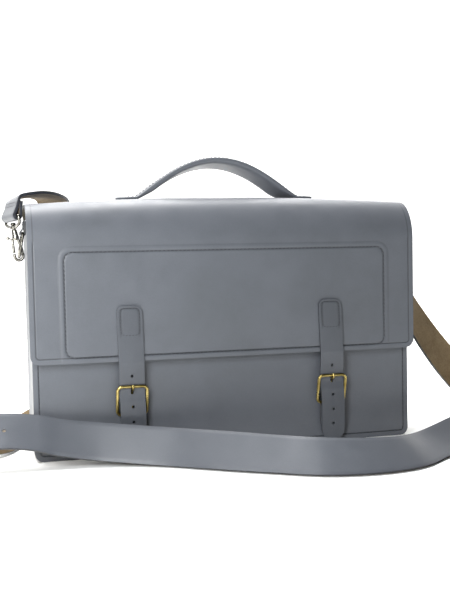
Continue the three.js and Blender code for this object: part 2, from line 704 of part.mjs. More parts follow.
function makeEye() {
  const half = strapWidth / 2 + eyeSideClearance + eyeWire / 2;
  const corner = eyeSideClearance + eyeWire / 2 - 0.2;
  const low = collarZ + collarLength / 2;
  const neck = 7;
  const outline = [
    ...arc(half - corner, eyeBarZ - corner, corner, corner, 0, 90, 4),
    ...arc(-half + corner, eyeBarZ - corner, corner, corner, 90, 180, 4),
    [-half, eyeBarZ - 6.4], [-half + 3, eyeBarZ - 8.6],
    [-neck, low], [neck, low],
    [half - 3, eyeBarZ - 8.6], [half, eyeBarZ - 6.4],
  ];
  const path = outline.map(([y, z]) => new THREE.Vector3(0, y, z));
  const loop = bentWire(path, new THREE.Vector3(1, 0, 0), eyeWire, { closed: true, sides: 8 });
  const collar = roundBar(swivelBore / 2 + 1.6, collarLength, 0, 0, low, 'z', 14);
  const bore = roundBar(swivelBore / 2, collarLength + 4, 0, 0, low, 'z', 12);
  return fromSolid(toSolid(loop).add(toSolid(collar)).subtract(toSolid(bore)));
}

// Frame of a hook: from the bar of its ring, tilted outwards, with the gate away from the case
function hookFrame(side, tilt) {
  const up = new THREE.Vector3(side * Math.sin(tilt * degree), 0, Math.cos(tilt * degree));
  const out = new THREE.Vector3(side * Math.abs(Math.cos(tilt * degree)), 0, 0);
  out.z = -out.x * up.x / up.z;
  out.normalize();
  const across = up.clone().cross(out);
  const origin = new THREE.Vector3(side * ringBottomX, 0, ringBottomZ);
  const matrix = new THREE.Matrix4().makeBasis(out, across, up).setPosition(origin);
  return { up, out, across, origin, matrix };
}

function addHook(label, side, tilt, eyeTurn) {
  const frame = hookFrame(side, tilt);
  const group = new THREE.Group();
  group.applyMatrix4(frame.matrix);
  object.add(group);
  addPiece(`hook_body_${label}`, makeHookBody(), 'nickel', group);
  addPiece(`hook_gate_${label}`, makeGate(), 'nickel', group);
  const eye = addPiece(`hook_eye_${label}`, makeEye(), 'nickel', group);
  eye.rotation.z = eyeTurn * degree;
  group.updateMatrixWorld(true);
  const bar = new THREE.Vector3(0, 0, eyeBarZ).applyMatrix4(eye.matrixWorld);
  const along = new THREE.Vector3(0, 1, 0).transformDirection(eye.matrixWorld);
  return { bar, along, up: frame.up, out: frame.out, origin: frame.origin, across: frame.across };
}

// The strap's end folded round a hook's eye: places from the end of its tail to where it leaves
// for the route; travel is +1 where the strap leaves the hook and -1 where it arrives
function foldedEnd(hook, nextRow, travel) {
  const edge = hook.along.clone().multiplyScalar(Math.sign(hook.along.dot(nextRow.edge)));
  const leave = nextRow.centre.clone().sub(hook.bar);
  leave.addScaledVector(edge, -leave.dot(edge)).normalize();
  const face = leave.clone().multiplyScalar(travel).cross(edge).normalize();
  const wrap = eyeWire / 2 + 2 * seatGap + strapWall / 2;
  const double = (strapWall + seatGap) / 2;
  const at = (a, b) => ({
    centre: hook.bar.clone().addScaledVector(leave, a).addScaledVector(face, b),
    edge,
  });
  const fold = [at(strapTail, -double), at(wrap * 2.4, -double - 0.35)];
  for (let angle = -75; angle <= 255; angle += 30) {
    if (angle < -15 || angle > 195) continue;
    fold.push(at(-wrap * Math.sin(angle * degree), -wrap * Math.cos(angle * degree)));
  }
  fold.push(at(wrap * 2.4, double + 0.35));
  const main = at(strapTail, double);
  return { fold, main };
}

// Places along the whole strap, each with its centre, its upper edge and its outward face
function strapCourse(leftHook, rightHook) {
  const middleAbove = (tip) => (
    strapWidth / 2 * Math.abs(Math.sin(tip * degree)) + strapWall / 2 * Math.abs(Math.cos(tip * degree))
  );
  const rows = strapRoute.map(({ across, back, lift, turn, tip }) => ({
    centre: new THREE.Vector3(across * halfWidth, back * halfDepth, lift * caseHeight + middleAbove(tip)),
    edge: new THREE.Vector3(
      Math.cos(tip * degree) * Math.cos(turn * degree),
      Math.cos(tip * degree) * Math.sin(turn * degree),
      Math.sin(tip * degree),
    ),
  }));
  const left = foldedEnd(leftHook, rows[0], 1);
  const right = foldedEnd(rightHook, rows[rows.length - 1], -1);
  const leftStart = left.fold[left.fold.length - 1];
  const rightEnd = right.fold[right.fold.length - 1];
  const knots = [leftStart, left.main, ...rows, right.main, rightEnd];
  const curve = new THREE.CatmullRomCurve3(knots.map((k) => k.centre), false, 'centripetal');
  const spans = knots.length - 1;
  const steps = strapSteps;
  const run = [];
  for (let i = 1; i < steps; i++) {
    const t = i / steps;
    const span = Math.min(Math.floor(t * spans), spans - 1);
    const edge = knots[span].edge.clone().lerp(knots[span + 1].edge, t * spans - span);
    run.push({ centre: curve.getPoint(t), edge });
  }
  const places = [...left.fold, ...run, ...right.fold.slice().reverse()];
  return places.map((place, i) => {
    const before = places[Math.max(i - 1, 0)].centre;
    const after = places[Math.min(i + 1, places.length - 1)].centre;
    const travel = after.clone().sub(before).normalize();
    const edge = place.edge.clone().addScaledVector(travel, -place.edge.dot(travel)).normalize();
    return { centre: place.centre, edge, face: travel.clone().cross(edge) };
  });
}

function makeStrap(leftHook, rightHook) {
  const places = strapCourse(leftHook, rightHook);
  const stations = places.map(({ centre, edge, face }) => (u, v) => (
    centre.clone().addScaledVector(edge, u).addScaledVector(face, v)
  ));
  const edge = strapWidth / 2;
  const skin = strapWall / 2;
  const strap = sweep(stations, [[-edge, -skin], [edge, -skin], [edge, skin], [-edge, skin]]);
  const front = places.filter(({ centre }) => centre.y < -halfDepth);
  const wanted = strapHoleAcross * halfWidth;
  const spot = front.reduce((best, place) => (
    Math.abs(place.centre.x - wanted) < Math.abs(best.centre.x - wanted) ? place : best
  ));
  const hole = roundBar(strapHoleDiameter / 2, strapWall * 4, 0, 0, 0, 'z', 10);
  const side = spot.edge.clone().cross(spot.face);
  const punch = new THREE.Matrix4().makeBasis(spot.edge, side.negate(), spot.face).setPosition(spot.centre);
  hole.applyMatrix4(punch);
  return cut(strap, hole);
}

addPiece('front_panel', makeFrontPanel(), 'slateLeather');
addPiece('gusset', makeGusset(), 'slateLeather');
addPiece('back_and_flap', makeBackAndFlap(), 'slateLeather');
addPiece('flap_pocket', makeFlapPocket(), 'slateLeather');
addPiece('handle', makeHandle(), 'slateLeather');

const fastenings = [
  { label: 'left', side: -1, lean: billetLeanLeft },
  { label: 'right', side: 1, lean: billetLeanRight },
];
for (const { label, side, lean } of fastenings) {
  const topX = side * billetSpacing / 2;
  const share = (billetTopHeight - prongHoleHeight) / (billetTopHeight - billetTipHeight);
  const buckleX = topX + lean * share;
  addPiece(`billet_${label}`, makeBillet(topX, lean, makeProng(buckleX, seatGap)), 'slateLeather');
  addPiece(`buckle_frame_${label}`, makeBuckleFrame(buckleX), 'brass');
  addPiece(`buckle_prong_${label}`, makeProng(buckleX), 'brass');
  addPiece(`buckle_chape_${label}`, makeChape(buckleX), 'slateLeather');
  addPiece(`ring_tab_${label}`, makeRingTab(side), 'slateLeather');
  addPiece(`ring_${label}`, makeRing(side), 'nickel');
}

const leftHook = addHook('left', -1, leftHookTilt, leftEyeTurn);
const rightHook = addHook('right', 1, rightHookTilt, rightEyeTurn);
addPiece('shoulder_strap', makeStrap(leftHook, rightHook), 'slateLeather');

export default object;
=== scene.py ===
# Slate leather document case: bridle leather panels, sewn flap pocket, buckled billets, handle,
# and a clip-on shoulder strap that lies round the case. Sizes are in millimetres, scaled once
# where a mesh is made, but the camera, the paper and the lights are placed in metres. The frame
# is that of the solids, +X right, +Y back, +Z up.
import math
import bpy
import numpy as np
from mathutils import Matrix, Vector


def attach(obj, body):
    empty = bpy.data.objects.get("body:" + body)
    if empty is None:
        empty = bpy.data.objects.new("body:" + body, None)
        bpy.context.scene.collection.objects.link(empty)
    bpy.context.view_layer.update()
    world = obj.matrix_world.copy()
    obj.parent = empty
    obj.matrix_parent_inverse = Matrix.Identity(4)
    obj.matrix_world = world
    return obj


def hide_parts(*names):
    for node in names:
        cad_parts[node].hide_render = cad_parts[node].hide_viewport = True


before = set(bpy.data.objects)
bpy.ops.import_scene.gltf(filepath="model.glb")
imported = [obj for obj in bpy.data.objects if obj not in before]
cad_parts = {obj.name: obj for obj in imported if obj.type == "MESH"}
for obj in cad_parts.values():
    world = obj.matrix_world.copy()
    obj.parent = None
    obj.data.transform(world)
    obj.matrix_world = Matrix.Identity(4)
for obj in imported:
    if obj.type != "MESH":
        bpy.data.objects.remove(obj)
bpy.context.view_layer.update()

MM = 0.001

# Case, in millimetres
CASE_HALF = 200.0
CASE_DEPTH_HALF = 45.0
CASE_HEIGHT = 254.0
WALL = 2.8
SEAT = 0.3
FOLD_SLACK = 0.1         # a folded piece is drawn this much thinner than its solid
BASE_CORNER = 9.0
FRONT_TOP = 236.0
GUSSET_TOP = 240.0
GUSSET_LIP = 7.0
GUSSET_LIP_BEND = 2.2
GUSSET_REACH = CASE_DEPTH_HALF - WALL - SEAT
EDGE_LINE = 5.5          # creased and sewn line inside the panels' edges
FLAP_HALF = 202.3
FLAP_FACE = -56.0
FLAP_BOTTOM = 97.0
FLAP_CORNER = 9.0
SHOULDER_DEPTH = 33.0
SHOULDER_DROP = 40.0
BACK_TOP_RADIUS = 14.0
TOP_RISE = 6.0
RIDGE_HALF = 172.5       # edge of the pocket panel, pressed through the flap
RIDGE_TOP = 210.2
POCKET_WALL = 1.8
POCKET_TOP = 210.5
SEWN_HALF = 168.0        # stitch line that holds the pocket panel
SEWN_TOP = 205.7
SEWN_BOTTOM = 102.3
SEWN_CORNER = 8.0
THREAD = 0.75            # waxed linen thread
STITCH_PITCH = 4.2

# Handle
HANDLE_HALF = 108.0      # half its span, feet included
HANDLE_EDGE = 13.5       # half its width
HANDLE_FOOT = 3.2        # thickness of the flat feet
HANDLE_RISE = 40.3
HANDLE_ARCH = 88.0       # half the span of the arch between its feet
HANDLE_ROLL = 92.0       # half the length that is thicker than the feet
FOOT_ROUND = 12.5        # length over which each foot's end is rounded
HANDLE_LEAN = 0.20       # how far its front edge leans up, as a slope

# Billets and buckles
BILLET_HALF = 12.7
BILLET_WALL = 2.5
BILLET_TOP = 152.0
BILLET_TIP = 1.5
BILLET_SEWN = (9.6, 122.8, 149.6, 4.0)   # half width, low, high and corner of its stitch line
BAR_HEIGHT = 71.5
BUCKLE_HEIGHT = 29.0
BUCKLE_WIRE = 3.2
BUCKLE_CORNER = 4.6
PRONG_WIRE = 2.2
KNUCKLE_WIRE = 1.6
KNUCKLE_RADIUS = 2.7     # of the ring that the prong's wire makes round the heel bar
CHAPE_WALL = 1.4
BILLET_X = 105.5
PRONG_HOLE = 66.5
HOLE_PITCH = 15.5
HOLE_RADIUS = 1.55
PUNCH_Y = -52.0
HEEL_Y = -CASE_DEPTH_HALF - SEAT - CHAPE_WALL - SEAT - BUCKLE_WIRE / 2 - SEAT
HEEL_Z = BAR_HEIGHT - BUCKLE_HEIGHT
FRONT_BAR_Y = -CASE_DEPTH_HALF - 6.6 - BILLET_WALL - SEAT - BUCKLE_WIRE / 2

# Side tabs and rings
TAB_HALF = 12.0
TAB_WALL = 1.5
TAB_TOP = 238.0
RING_BAR = 226.0
RING_TOP_X = 203.5
RING_SWING = 3.9
RING_HEIGHT = 24.0
RING_WIRE = 2.8

# Snap hooks, measured up from the middle of the jaw's ring, and strap
HOOK_WIRE = 3.0
GATE_WIRE = 2.6
EYE_BAR = 41.4
EYE_HALF = 21.25
JAW_CENTRE = 0.9
JAW_LIP = JAW_CENTRE + 3.2
SPINE_TOP = 17.9
BODY_TOP = 28.5
KNOB = 32.3
COLLAR = 28.8
GATE_PIVOT = (3.1, 18.3)
STRAP_HALF = 19.0
STRAP_WALL = 3.0

# Rows of (across, back, lift, turn, tip): the strap's middle as shares of half the case's width
# and half its depth, its lower edge's height as a share of the case's, and the way that its upper
# edge points, in degrees round from +X and up from level
STRAP_ROUTE = [
    (-1.048, 0.045, 1.014, 104, -6), (-0.972, 0.22, 1.033, 108, -4), (-0.885, 0.667, 1.036, 122, -2),
    (-0.835, 1.155, 1.016, 138, 0), (-0.815, 1.52, 0.948, 152, 0), (-0.785, 1.68, 0.794, 176, 0),
    (-0.780, 1.7, 0.591, 180, 2), (-0.785, 1.72, 0.399, 180, 12), (-0.810, 1.76, 0.205, 178, 30),
    (-0.870, 1.77, 0.055, 170, 38), (-1.030, 1.5, 0.007, 142, 30), (-1.110, 0.82, 0.006, 155, 40),
    (-1.155, 0.13, 0.006, 150, 66), (-1.245, -0.45, 0.019, 120, 84), (-1.305, -0.98, 0.043, 90, 80),
    (-1.260, -1.42, 0.072, 88, 60), (-1.165, -1.46, 0.088, 88, 48), (-1.000, -1.49, 0.072, 86, 51),
    (-0.875, -1.56, 0.045, 78, 55), (-0.672, -1.73, 0.02, 64, 61), (-0.400, -2.19, 0.004, 54, 60),
    (-0.137, -2.99, 0.004, 54, 56), (0.082, -3.6, 0.004, 62, 50), (0.260, -4.05, 0.004, 78, 48),
    (0.472, -4.21, 0.004, 92, 44), (0.675, -4.02, 0.004, 106, 38), (0.875, -3.36, 0.004, 122, 31),
    (1.135, -2.62, 0.004, 128, 45), (1.385, -1.82, 0.004, 134, 66), (1.565, -0.95, 0.015, 150, 84),
    (1.610, -0.2, 0.05, 30, 80), (1.530, 0.18, 0.095, 20, 56), (1.375, 0.2, 0.226, 24, 42),
    (1.163, 0.06, 0.449, 38, 29),
]
STRAP_HOLE_X = -229.6


# Finishes

def colour(text):
    """sRGB hex to the linear colour that the shader wants."""
    parts = [int(text[i:i + 2], 16) / 255 for i in (1, 3, 5)]
    linear = [c / 12.92 if c <= 0.04045 else ((c + 0.055) / 1.055) ** 2.4 for c in parts]
    return (*linear, 1.0)


def fill(tree, node, values):
    """Fill a node's sockets with values or links; a node stands for its first output."""
    for key, value in values.items():
        if isinstance(value, bpy.types.Node):
            value = value.outputs[0]
        if isinstance(value, bpy.types.NodeSocket):
            tree.links.new(value, node.inputs[key])
        else:
            node.inputs[key].default_value = value


def add(tree, kind, links=None, colours=(), **settings):
    """Add a node, set its properties and its ramp's (place, colour) stops, and fill its sockets
    with values or links."""
    made = tree.nodes.new(kind)
    for key, value in settings.items():
        setattr(made, key, value)
    if colours:
        elements = made.color_ramp.elements
        while len(elements) < len(colours):
            elements.new(0.5)
        for element, (place, shade) in zip(elements, colours):
            element.position = place
            element.color = shade if not isinstance(shade, str) else colour(shade)
    fill(tree, made, links or {})
    return made


def finish_of(name):
    """A new material with its shader, and each point's place on the object in metres."""
    material = bpy.data.materials.new(name)
    material.use_nodes = True
    tree = material.node_tree
    tree.nodes.clear()
    shader = add(tree, "ShaderNodeBsdfPrincipled")
    output = add(tree, "ShaderNodeOutputMaterial")
    tree.links.new(shader.outputs["BSDF"], output.inputs["Surface"])
    place = add(tree, "ShaderNodeTexCoord").outputs["Object"]
    return material, tree, shader, place


def bridle_leather(name, light, mid, dark, line, rough=0.44, grain=0.07):
    """Bridle leather, aniline dyed and waxed: an even slate colour that clouds over a hand's
    width, a fine closed grain, and a soft, low sheen."""
    material, tree, shader, place = finish_of(name)
    clouds = add(tree, "ShaderNodeTexNoise", {"Vector": place, "Scale": 9.0, "Detail": 3.0,
                                              "Roughness": 0.55})
    patches = add(tree, "ShaderNodeTexNoise", {"Vector": place, "Scale": 46.0, "Detail": 4.0,
                                               "Roughness": 0.6})
    blend = add(tree, "ShaderNodeMix", {"Factor": 0.35, "A": clouds, "B": patches}, data_type="FLOAT")
    shade = add(tree, "ShaderNodeValToRGB", {"Fac": blend}, [(0.34, dark), (0.50, mid), (0.66, light)])
    # Pores are about 0.2 mm in the hide; they are drawn 1.5 mm apart so that they show at all
    pores = add(tree, "ShaderNodeTexVoronoi", {"Vector": place, "Scale": 640.0, "Randomness": 1.0})
    fine = add(tree, "ShaderNodeTexNoise", {"Vector": place, "Scale": 900.0, "Detail": 2.0})
    pitted = add(tree, "ShaderNodeMix", {"Factor": 0.5, "A": pores, "B": fine}, data_type="FLOAT")
    speckle = add(tree, "ShaderNodeValToRGB", {"Fac": fine},
                  [(0.30, (0.96, 0.96, 0.96, 1)), (0.70, (1.03, 1.03, 1.03, 1))])
    toned = add(tree, "ShaderNodeMix", {"Factor": 1.0, "A": shade, "B": speckle},
                data_type="RGBA", blend_type="MULTIPLY")
    # The creased and sewn grooves are drawn darker: painted shade that deepens their own shading
    painted_shade = add(tree, "ShaderNodeAttribute", attribute_name="painted_shade")
    shade_lined = add(tree, "ShaderNodeMix", {"Factor": painted_shade.outputs["Fac"], "A": toned.outputs[2],
                                        "B": colour(line)}, data_type="RGBA")
    wax = add(tree, "ShaderNodeMapRange", {"Value": patches, "From Min": 0.3, "From Max": 0.7,
                                           "To Min": rough - 0.05, "To Max": rough + 0.07})
    pits = add(tree, "ShaderNodeBump", {"Height": pitted, "Strength": grain, "Distance": 0.0004})
    slow = add(tree, "ShaderNodeTexNoise", {"Vector": place, "Scale": 24.0, "Detail": 2.0})
    hand = add(tree, "ShaderNodeBump", {"Height": slow, "Strength": 0.25, "Distance": 0.0012,
                                        "Normal": pits})
    fill(tree, shader, {"Base Color": shade_lined.outputs[2], "Roughness": wax, "Normal": hand,
                        "Specular IOR Level": 0.42, "Sheen Weight": 0.08, "Sheen Roughness": 0.5,
                        "Coat Weight": 0.06, "Coat Roughness": 0.35})
    return material


def flesh_side(name, light, dark, nap=0.5):
    """Flesh side of vegetable-tanned leather: undyed, matt, with short loose fibres."""
    material, tree, shader, place = finish_of(name)
    clouds = add(tree, "ShaderNodeTexNoise", {"Vector": place, "Scale": 20.0, "Detail": 5.0,
                                              "Roughness": 0.65})
    fibres = add(tree, "ShaderNodeTexNoise", {"Vector": place, "Scale": 420.0, "Detail": 4.0,
                                              "Roughness": 0.7, "Distortion": 1.2})
    blend = add(tree, "ShaderNodeMix", {"Factor": 0.45, "A": clouds, "B": fibres}, data_type="FLOAT")
    shade = add(tree, "ShaderNodeValToRGB", {"Fac": blend}, [(0.36, dark), (0.64, light)])
    raised = add(tree, "ShaderNodeBump", {"Height": fibres, "Strength": nap, "Distance": 0.0004})
    fill(tree, shader, {"Base Color": shade, "Normal": raised, "Roughness": 0.86,
                        "Specular IOR Level": 0.2, "Sheen Weight": 0.15})
    return material


def burnished_edge(name, light, dark):
    """Cut edge of the leather, dyed and rubbed with wax until it is dark and smooth."""
    material, tree, shader, place = finish_of(name)
    layers = add(tree, "ShaderNodeTexNoise", {"Vector": place, "Scale": 240.0, "Detail": 3.0})
    shade = add(tree, "ShaderNodeValToRGB", {"Fac": layers}, [(0.35, dark), (0.65, light)])
    bump = add(tree, "ShaderNodeBump", {"Height": layers, "Strength": 0.15, "Distance": 0.0003})
    fill(tree, shader, {"Base Color": shade, "Normal": bump, "Roughness": 0.42,
                        "Specular IOR Level": 0.45})
    return material


def plated(name, bright, dull, rough):
    """Bare or plated metal fittings, tumbled smooth, with duller patches where hands don't rub."""
    material, tree, shader, place = finish_of(name)
    patches = add(tree, "ShaderNodeTexNoise", {"Vector": place, "Scale": 70.0, "Detail": 4.0,
                                               "Roughness": 0.6})
    scuffs = add(tree, "ShaderNodeTexNoise", {"Vector": place, "Scale": 900.0, "Detail": 2.0,
                                              "Distortion": 0.6})
    shade = add(tree, "ShaderNodeValToRGB", {"Fac": patches}, [(0.38, dull), (0.62, bright)])
    worn = add(tree, "ShaderNodeMapRange", {"Value": patches, "From Min": 0.3, "From Max": 0.7,
                                            "To Min": rough + 0.12, "To Max": rough})
    bump = add(tree, "ShaderNodeBump", {"Height": scuffs, "Strength": 0.12, "Distance": 0.0001})
    fill(tree, shader, {"Base Color": shade, "Roughness": worn, "Normal": bump, "Metallic": 1.0})
    return material


def waxed_thread(name, light, dark):
    """Waxed linen thread, two plies: a fine slanted twist and a dull gloss from the wax."""
    material, tree, shader, place = finish_of(name)
    ply = add(tree, "ShaderNodeTexWave", {"Vector": place, "Scale": 500.0, "Distortion": 1.5},
              wave_type="BANDS", bands_direction="DIAGONAL").outputs["Fac"]
    shade = add(tree, "ShaderNodeValToRGB", {"Fac": ply}, [(0.2, dark), (0.8, light)])
    twist = add(tree, "ShaderNodeBump", {"Height": ply, "Strength": 0.3, "Distance": 0.0002})
    fill(tree, shader, {"Base Color": shade, "Normal": twist, "Roughness": 0.55})
    return material


# The last colour of each leather is the painted shade drawn into its creased and sewn lines
SLATE = bridle_leather("slate_bridle_leather", "#595c62", "#55585e", "#505358", "#222428")
# The billets' leather is the case's slate leather drawn darker: painted shade
BILLET_SHADED_GRAIN = bridle_leather("billet_bridle_leather_painted_shade", "#4d5056", "#494c52", "#44474c", "#1b1d20")
# The strap's leather is the case's slate leather drawn darker: painted shade, as it stands nearer the lamps
STRAP_SHADED_GRAIN = bridle_leather("strap_bridle_leather_painted_shade", "#505359", "#4b4e54", "#474a50", "#202226", rough=0.42)
EDGE = burnished_edge("burnished_leather_edge", "#34363c", "#222428")
FLESH = flesh_side("tan_flesh_side", "#8d7a5d", "#69583f")
LINING = flesh_side("grey_flesh_side", "#6d675c", "#504b43", 0.35)
BRASS = plated("aged_solid_brass", "#c4b06e", "#8c7a45", 0.24)
NICKEL = plated("nickel_plated_steel", "#a5a29a", "#4f4c45", 0.17)
LINEN = waxed_thread("waxed_linen_thread", "#33363d", "#1d1f24")


# Making pieces

def deselect_all():
    if bpy.context.object and bpy.context.object.mode != "OBJECT":
        bpy.ops.object.mode_set(mode="OBJECT")
    bpy.ops.object.select_all(action="DESELECT")


def select_only(piece):
    deselect_all()
    bpy.context.view_layer.objects.active = piece
    piece.select_set(True)


def unit(vectors):
    """Rows of vectors, each brought to length one."""
    return vectors / np.linalg.norm(vectors, axis=1)[:, None]


def lengths_along(points):
    """Length run from the first point to each point."""
    return np.concatenate([[0], np.cumsum(np.linalg.norm(np.diff(points, axis=0), axis=1))])


def grid_piece(name, columns, rows):
    deselect_all()
    bpy.ops.mesh.primitive_grid_add(x_subdivisions=columns, y_subdivisions=rows, size=2, calc_uvs=True)
    piece = bpy.context.object
    piece.name = name
    return piece


def shape_grid(piece, columns, rows, place, flat):
    """Carry each vertex of a flat grid to its place; flat gives the leather's own lengths."""
    mesh = piece.data
    count = len(mesh.vertices)
    spots = np.empty(count * 3)
    mesh.vertices.foreach_get("co", spots)
    spots = spots.reshape(-1, 3)
    i = np.rint((spots[:, 0] + 1) / 2 * columns).astype(int)
    j = np.rint((spots[:, 1] + 1) / 2 * rows).astype(int)
    points, painted_shade = place(i, j)
    mesh.vertices.foreach_set("co", (points * MM).ravel())
    # Each point also carries its painted shade, which darkens the leather's colour there
    mark = mesh.attributes.new("painted_shade", "FLOAT", "POINT")
    mark.data.foreach_set("value", np.broadcast_to(painted_shade, count).astype(np.float32))
    if flat is not None:
        corners = np.empty(len(mesh.loops), dtype=np.int32)
        mesh.loops.foreach_get("vertex_index", corners)
        across, along = flat
        lengths = np.stack([across[i[corners]], along[j[corners]]], axis=1) * MM
        mesh.uv_layers.active.data.foreach_set("uv", lengths.astype(np.float32).ravel())
    mesh.update()


def cut_with(piece, name, cutter):
    cut = piece.modifiers.new(name, "BOOLEAN")
    cut.operation = "DIFFERENCE"
    cut.object = cutter
    cut.solver = "EXACT"


def apply_all(piece):
    select_only(piece)
    for modifier in list(piece.modifiers):
        bpy.ops.object.modifier_apply(modifier=modifier.name)


def smooth(piece, angle=38):
    select_only(piece)
    bpy.ops.object.shade_smooth_by_angle(angle=math.radians(angle))


def leather_sheet(name, us, vs, place, wall, finishes, rounding=0.7, offset=-1.0, cutters=()):
    """A cut sheet of leather: grain side, flesh side and burnished rim."""
    us = np.asarray(us, float)
    vs = np.asarray(vs, float)
    columns = len(us) - 1
    rows = len(vs) - 1
    piece = grid_piece(name, columns, rows)
    shape_grid(piece, columns, rows, lambda i, j: place(us[i], vs[j], i, j), (us, vs))
    for material in finishes:
        piece.data.materials.append(material)
    wall_step = piece.modifiers.new("wall", "SOLIDIFY")
    wall_step.thickness = wall * MM
    wall_step.offset = offset
    wall_step.material_offset = 1
    wall_step.material_offset_rim = 2
    rounded = piece.modifiers.new("rounded_edge", "BEVEL")
    rounded.width = rounding * MM
    rounded.segments = 2
    rounded.limit_method = "ANGLE"
    rounded.angle_limit = math.radians(55)
    rounded.harden_normals = False
    for cutter in cutters:
        cut_with(piece, "hole", cutter)
    apply_all(piece)
    for cutter in cutters:
        bpy.data.objects.remove(cutter)
    smooth(piece)
    return piece


def ring_tube(name, sides, path_count, place, material, closed):
    """A closed skin round a path: place(side index, path index) gives its points."""
    piece = grid_piece(name, sides, path_count)
    shape_grid(piece, sides, path_count, lambda i, j: (place(i, j), np.zeros(len(i))), None)
    piece.data.materials.append(material)
    select_only(piece)
    bpy.ops.object.mode_set(mode="EDIT")
    bpy.ops.mesh.select_all(action="SELECT")
    bpy.ops.mesh.remove_doubles(threshold=0.000002)
    if not closed:
        bpy.ops.mesh.fill_holes(sides=0)
    bpy.ops.mesh.select_all(action="SELECT")
    bpy.ops.mesh.normals_make_consistent(inside=False)
    bpy.ops.object.mode_set(mode="OBJECT")
    smooth(piece, 50)
    return piece


def resample(points, step, closed=False):
    """Points along a polyline at an even step."""
    points = np.asarray(points, float)
    if closed:
        points = np.vstack([points, points[:1]])
    lengths = lengths_along(points)
    count = max(int(round(lengths[-1] / step)), 1)
    marks = np.linspace(0, lengths[-1], count + 1)
    return np.stack([np.interp(marks, lengths, points[:, k]) for k in range(points.shape[1])], axis=1)


def bent_wire(name, path, across, diameter, material, closed=False, sides=14, flatten=1.0, taper=None):
    """Round wire bent along a path that lies in one plane; across is that plane's normal."""
    path = np.asarray(path, float)
    across = np.asarray(across, float) / np.linalg.norm(across)
    count = len(path)
    if closed:
        ahead = np.roll(path, -1, axis=0)
        behind = np.roll(path, 1, axis=0)
    else:
        ahead = np.vstack([path[1:], path[-1:]])
        behind = np.vstack([path[:1], path[:-1]])
    side = unit(np.cross(unit(ahead - behind), across))
    radius = np.full(count, diameter / 2) if taper is None else np.asarray(taper) * diameter / 2

    def place(i, j):
        j = j % count
        angle = i / sides * 2 * math.pi
        u = np.cos(angle) * radius[j]
        v = np.sin(angle) * radius[j] * flatten
        return path[j] + side[j] * u[:, None] + across * v[:, None]
    return ring_tube(name, sides, count if closed else count - 1, place, material, closed)


def turned(name, profile, matrix, material, sides=28):
    """A lathe-turned form: profile is (radius, height) along the local Z axis."""
    profile = np.asarray(profile, float)
    matrix = np.asarray(matrix, float)

    def place(i, j):
        angle = i / sides * 2 * math.pi
        r = profile[j, 0]
        local = np.stack([r * np.cos(angle), r * np.sin(angle), profile[j, 1], np.ones(len(i))], axis=1)
        return (local @ matrix.T)[:, :3]
    return ring_tube(name, sides, len(profile) - 1, place, material, False)


def arc(cx, cy, rx, ry, start, end, steps):
    """Points on an arc, from one angle to another in degrees."""
    angles = np.radians(np.linspace(start, end, steps + 1))
    return np.stack([cx + rx * np.cos(angles), cy + ry * np.sin(angles)], axis=1)


def at_depth(pairs, y):
    """Pairs of (across, up) as points at one depth."""
    pairs = np.asarray(pairs, float)
    return np.stack([pairs[:, 0], np.full(len(pairs), y), pairs[:, 1]], axis=1)


def at_side(pairs, x):
    """Pairs of (back, up) as points at one place across."""
    return np.stack([np.full(len(pairs), x), pairs[:, 0], pairs[:, 1]], axis=1)


def joined(name, pieces):
    deselect_all()
    for piece in pieces:
        piece.select_set(True)
    bpy.context.view_layer.objects.active = pieces[0]
    bpy.ops.object.join()
    pieces[0].name = name
    return pieces[0]


def box_cutter(size, centre):
    deselect_all()
    bpy.ops.mesh.primitive_cube_add(size=1)
    cutter = bpy.context.object
    for vertex in cutter.data.vertices:
        vertex.co = Vector([(vertex.co[k] * size[k] + centre[k]) * MM for k in range(3)])
    return cutter


def hole_cutter(radius, centre, direction, length=16.0, tall=0.0):
    """Round or slotted punch; tall stretches it upwards into a slot."""
    deselect_all()
    bpy.ops.mesh.primitive_cylinder_add(vertices=20, radius=1, depth=1)
    cutter = bpy.context.object
    turn = Vector((0, 0, 1)).rotation_difference(Vector(direction))
    for vertex in cutter.data.vertices:
        x, y, z = vertex.co
        y = y * radius + math.copysign(tall / 2, y) * (abs(y) > 1e-4)
        spot = turn @ Vector((x * radius, y, z * length)) + Vector(centre)
        vertex.co = spot * MM
    return cutter


def one_stitch():
    """One stitch of thread, about 26 points, sunk at both ends; copied along every seam."""
    deselect_all()
    bpy.ops.mesh.primitive_uv_sphere_add(segments=6, ring_count=5, radius=1)
    stitch = bpy.context.object
    points = np.array([vertex.co[:] for vertex in stitch.data.vertices])
    faces = [list(polygon.vertices) for polygon in stitch.data.polygons]
    bpy.data.objects.remove(stitch)
    return points[:, [2, 0, 1]], faces


STITCH_POINTS, STITCH_FACES = one_stitch()


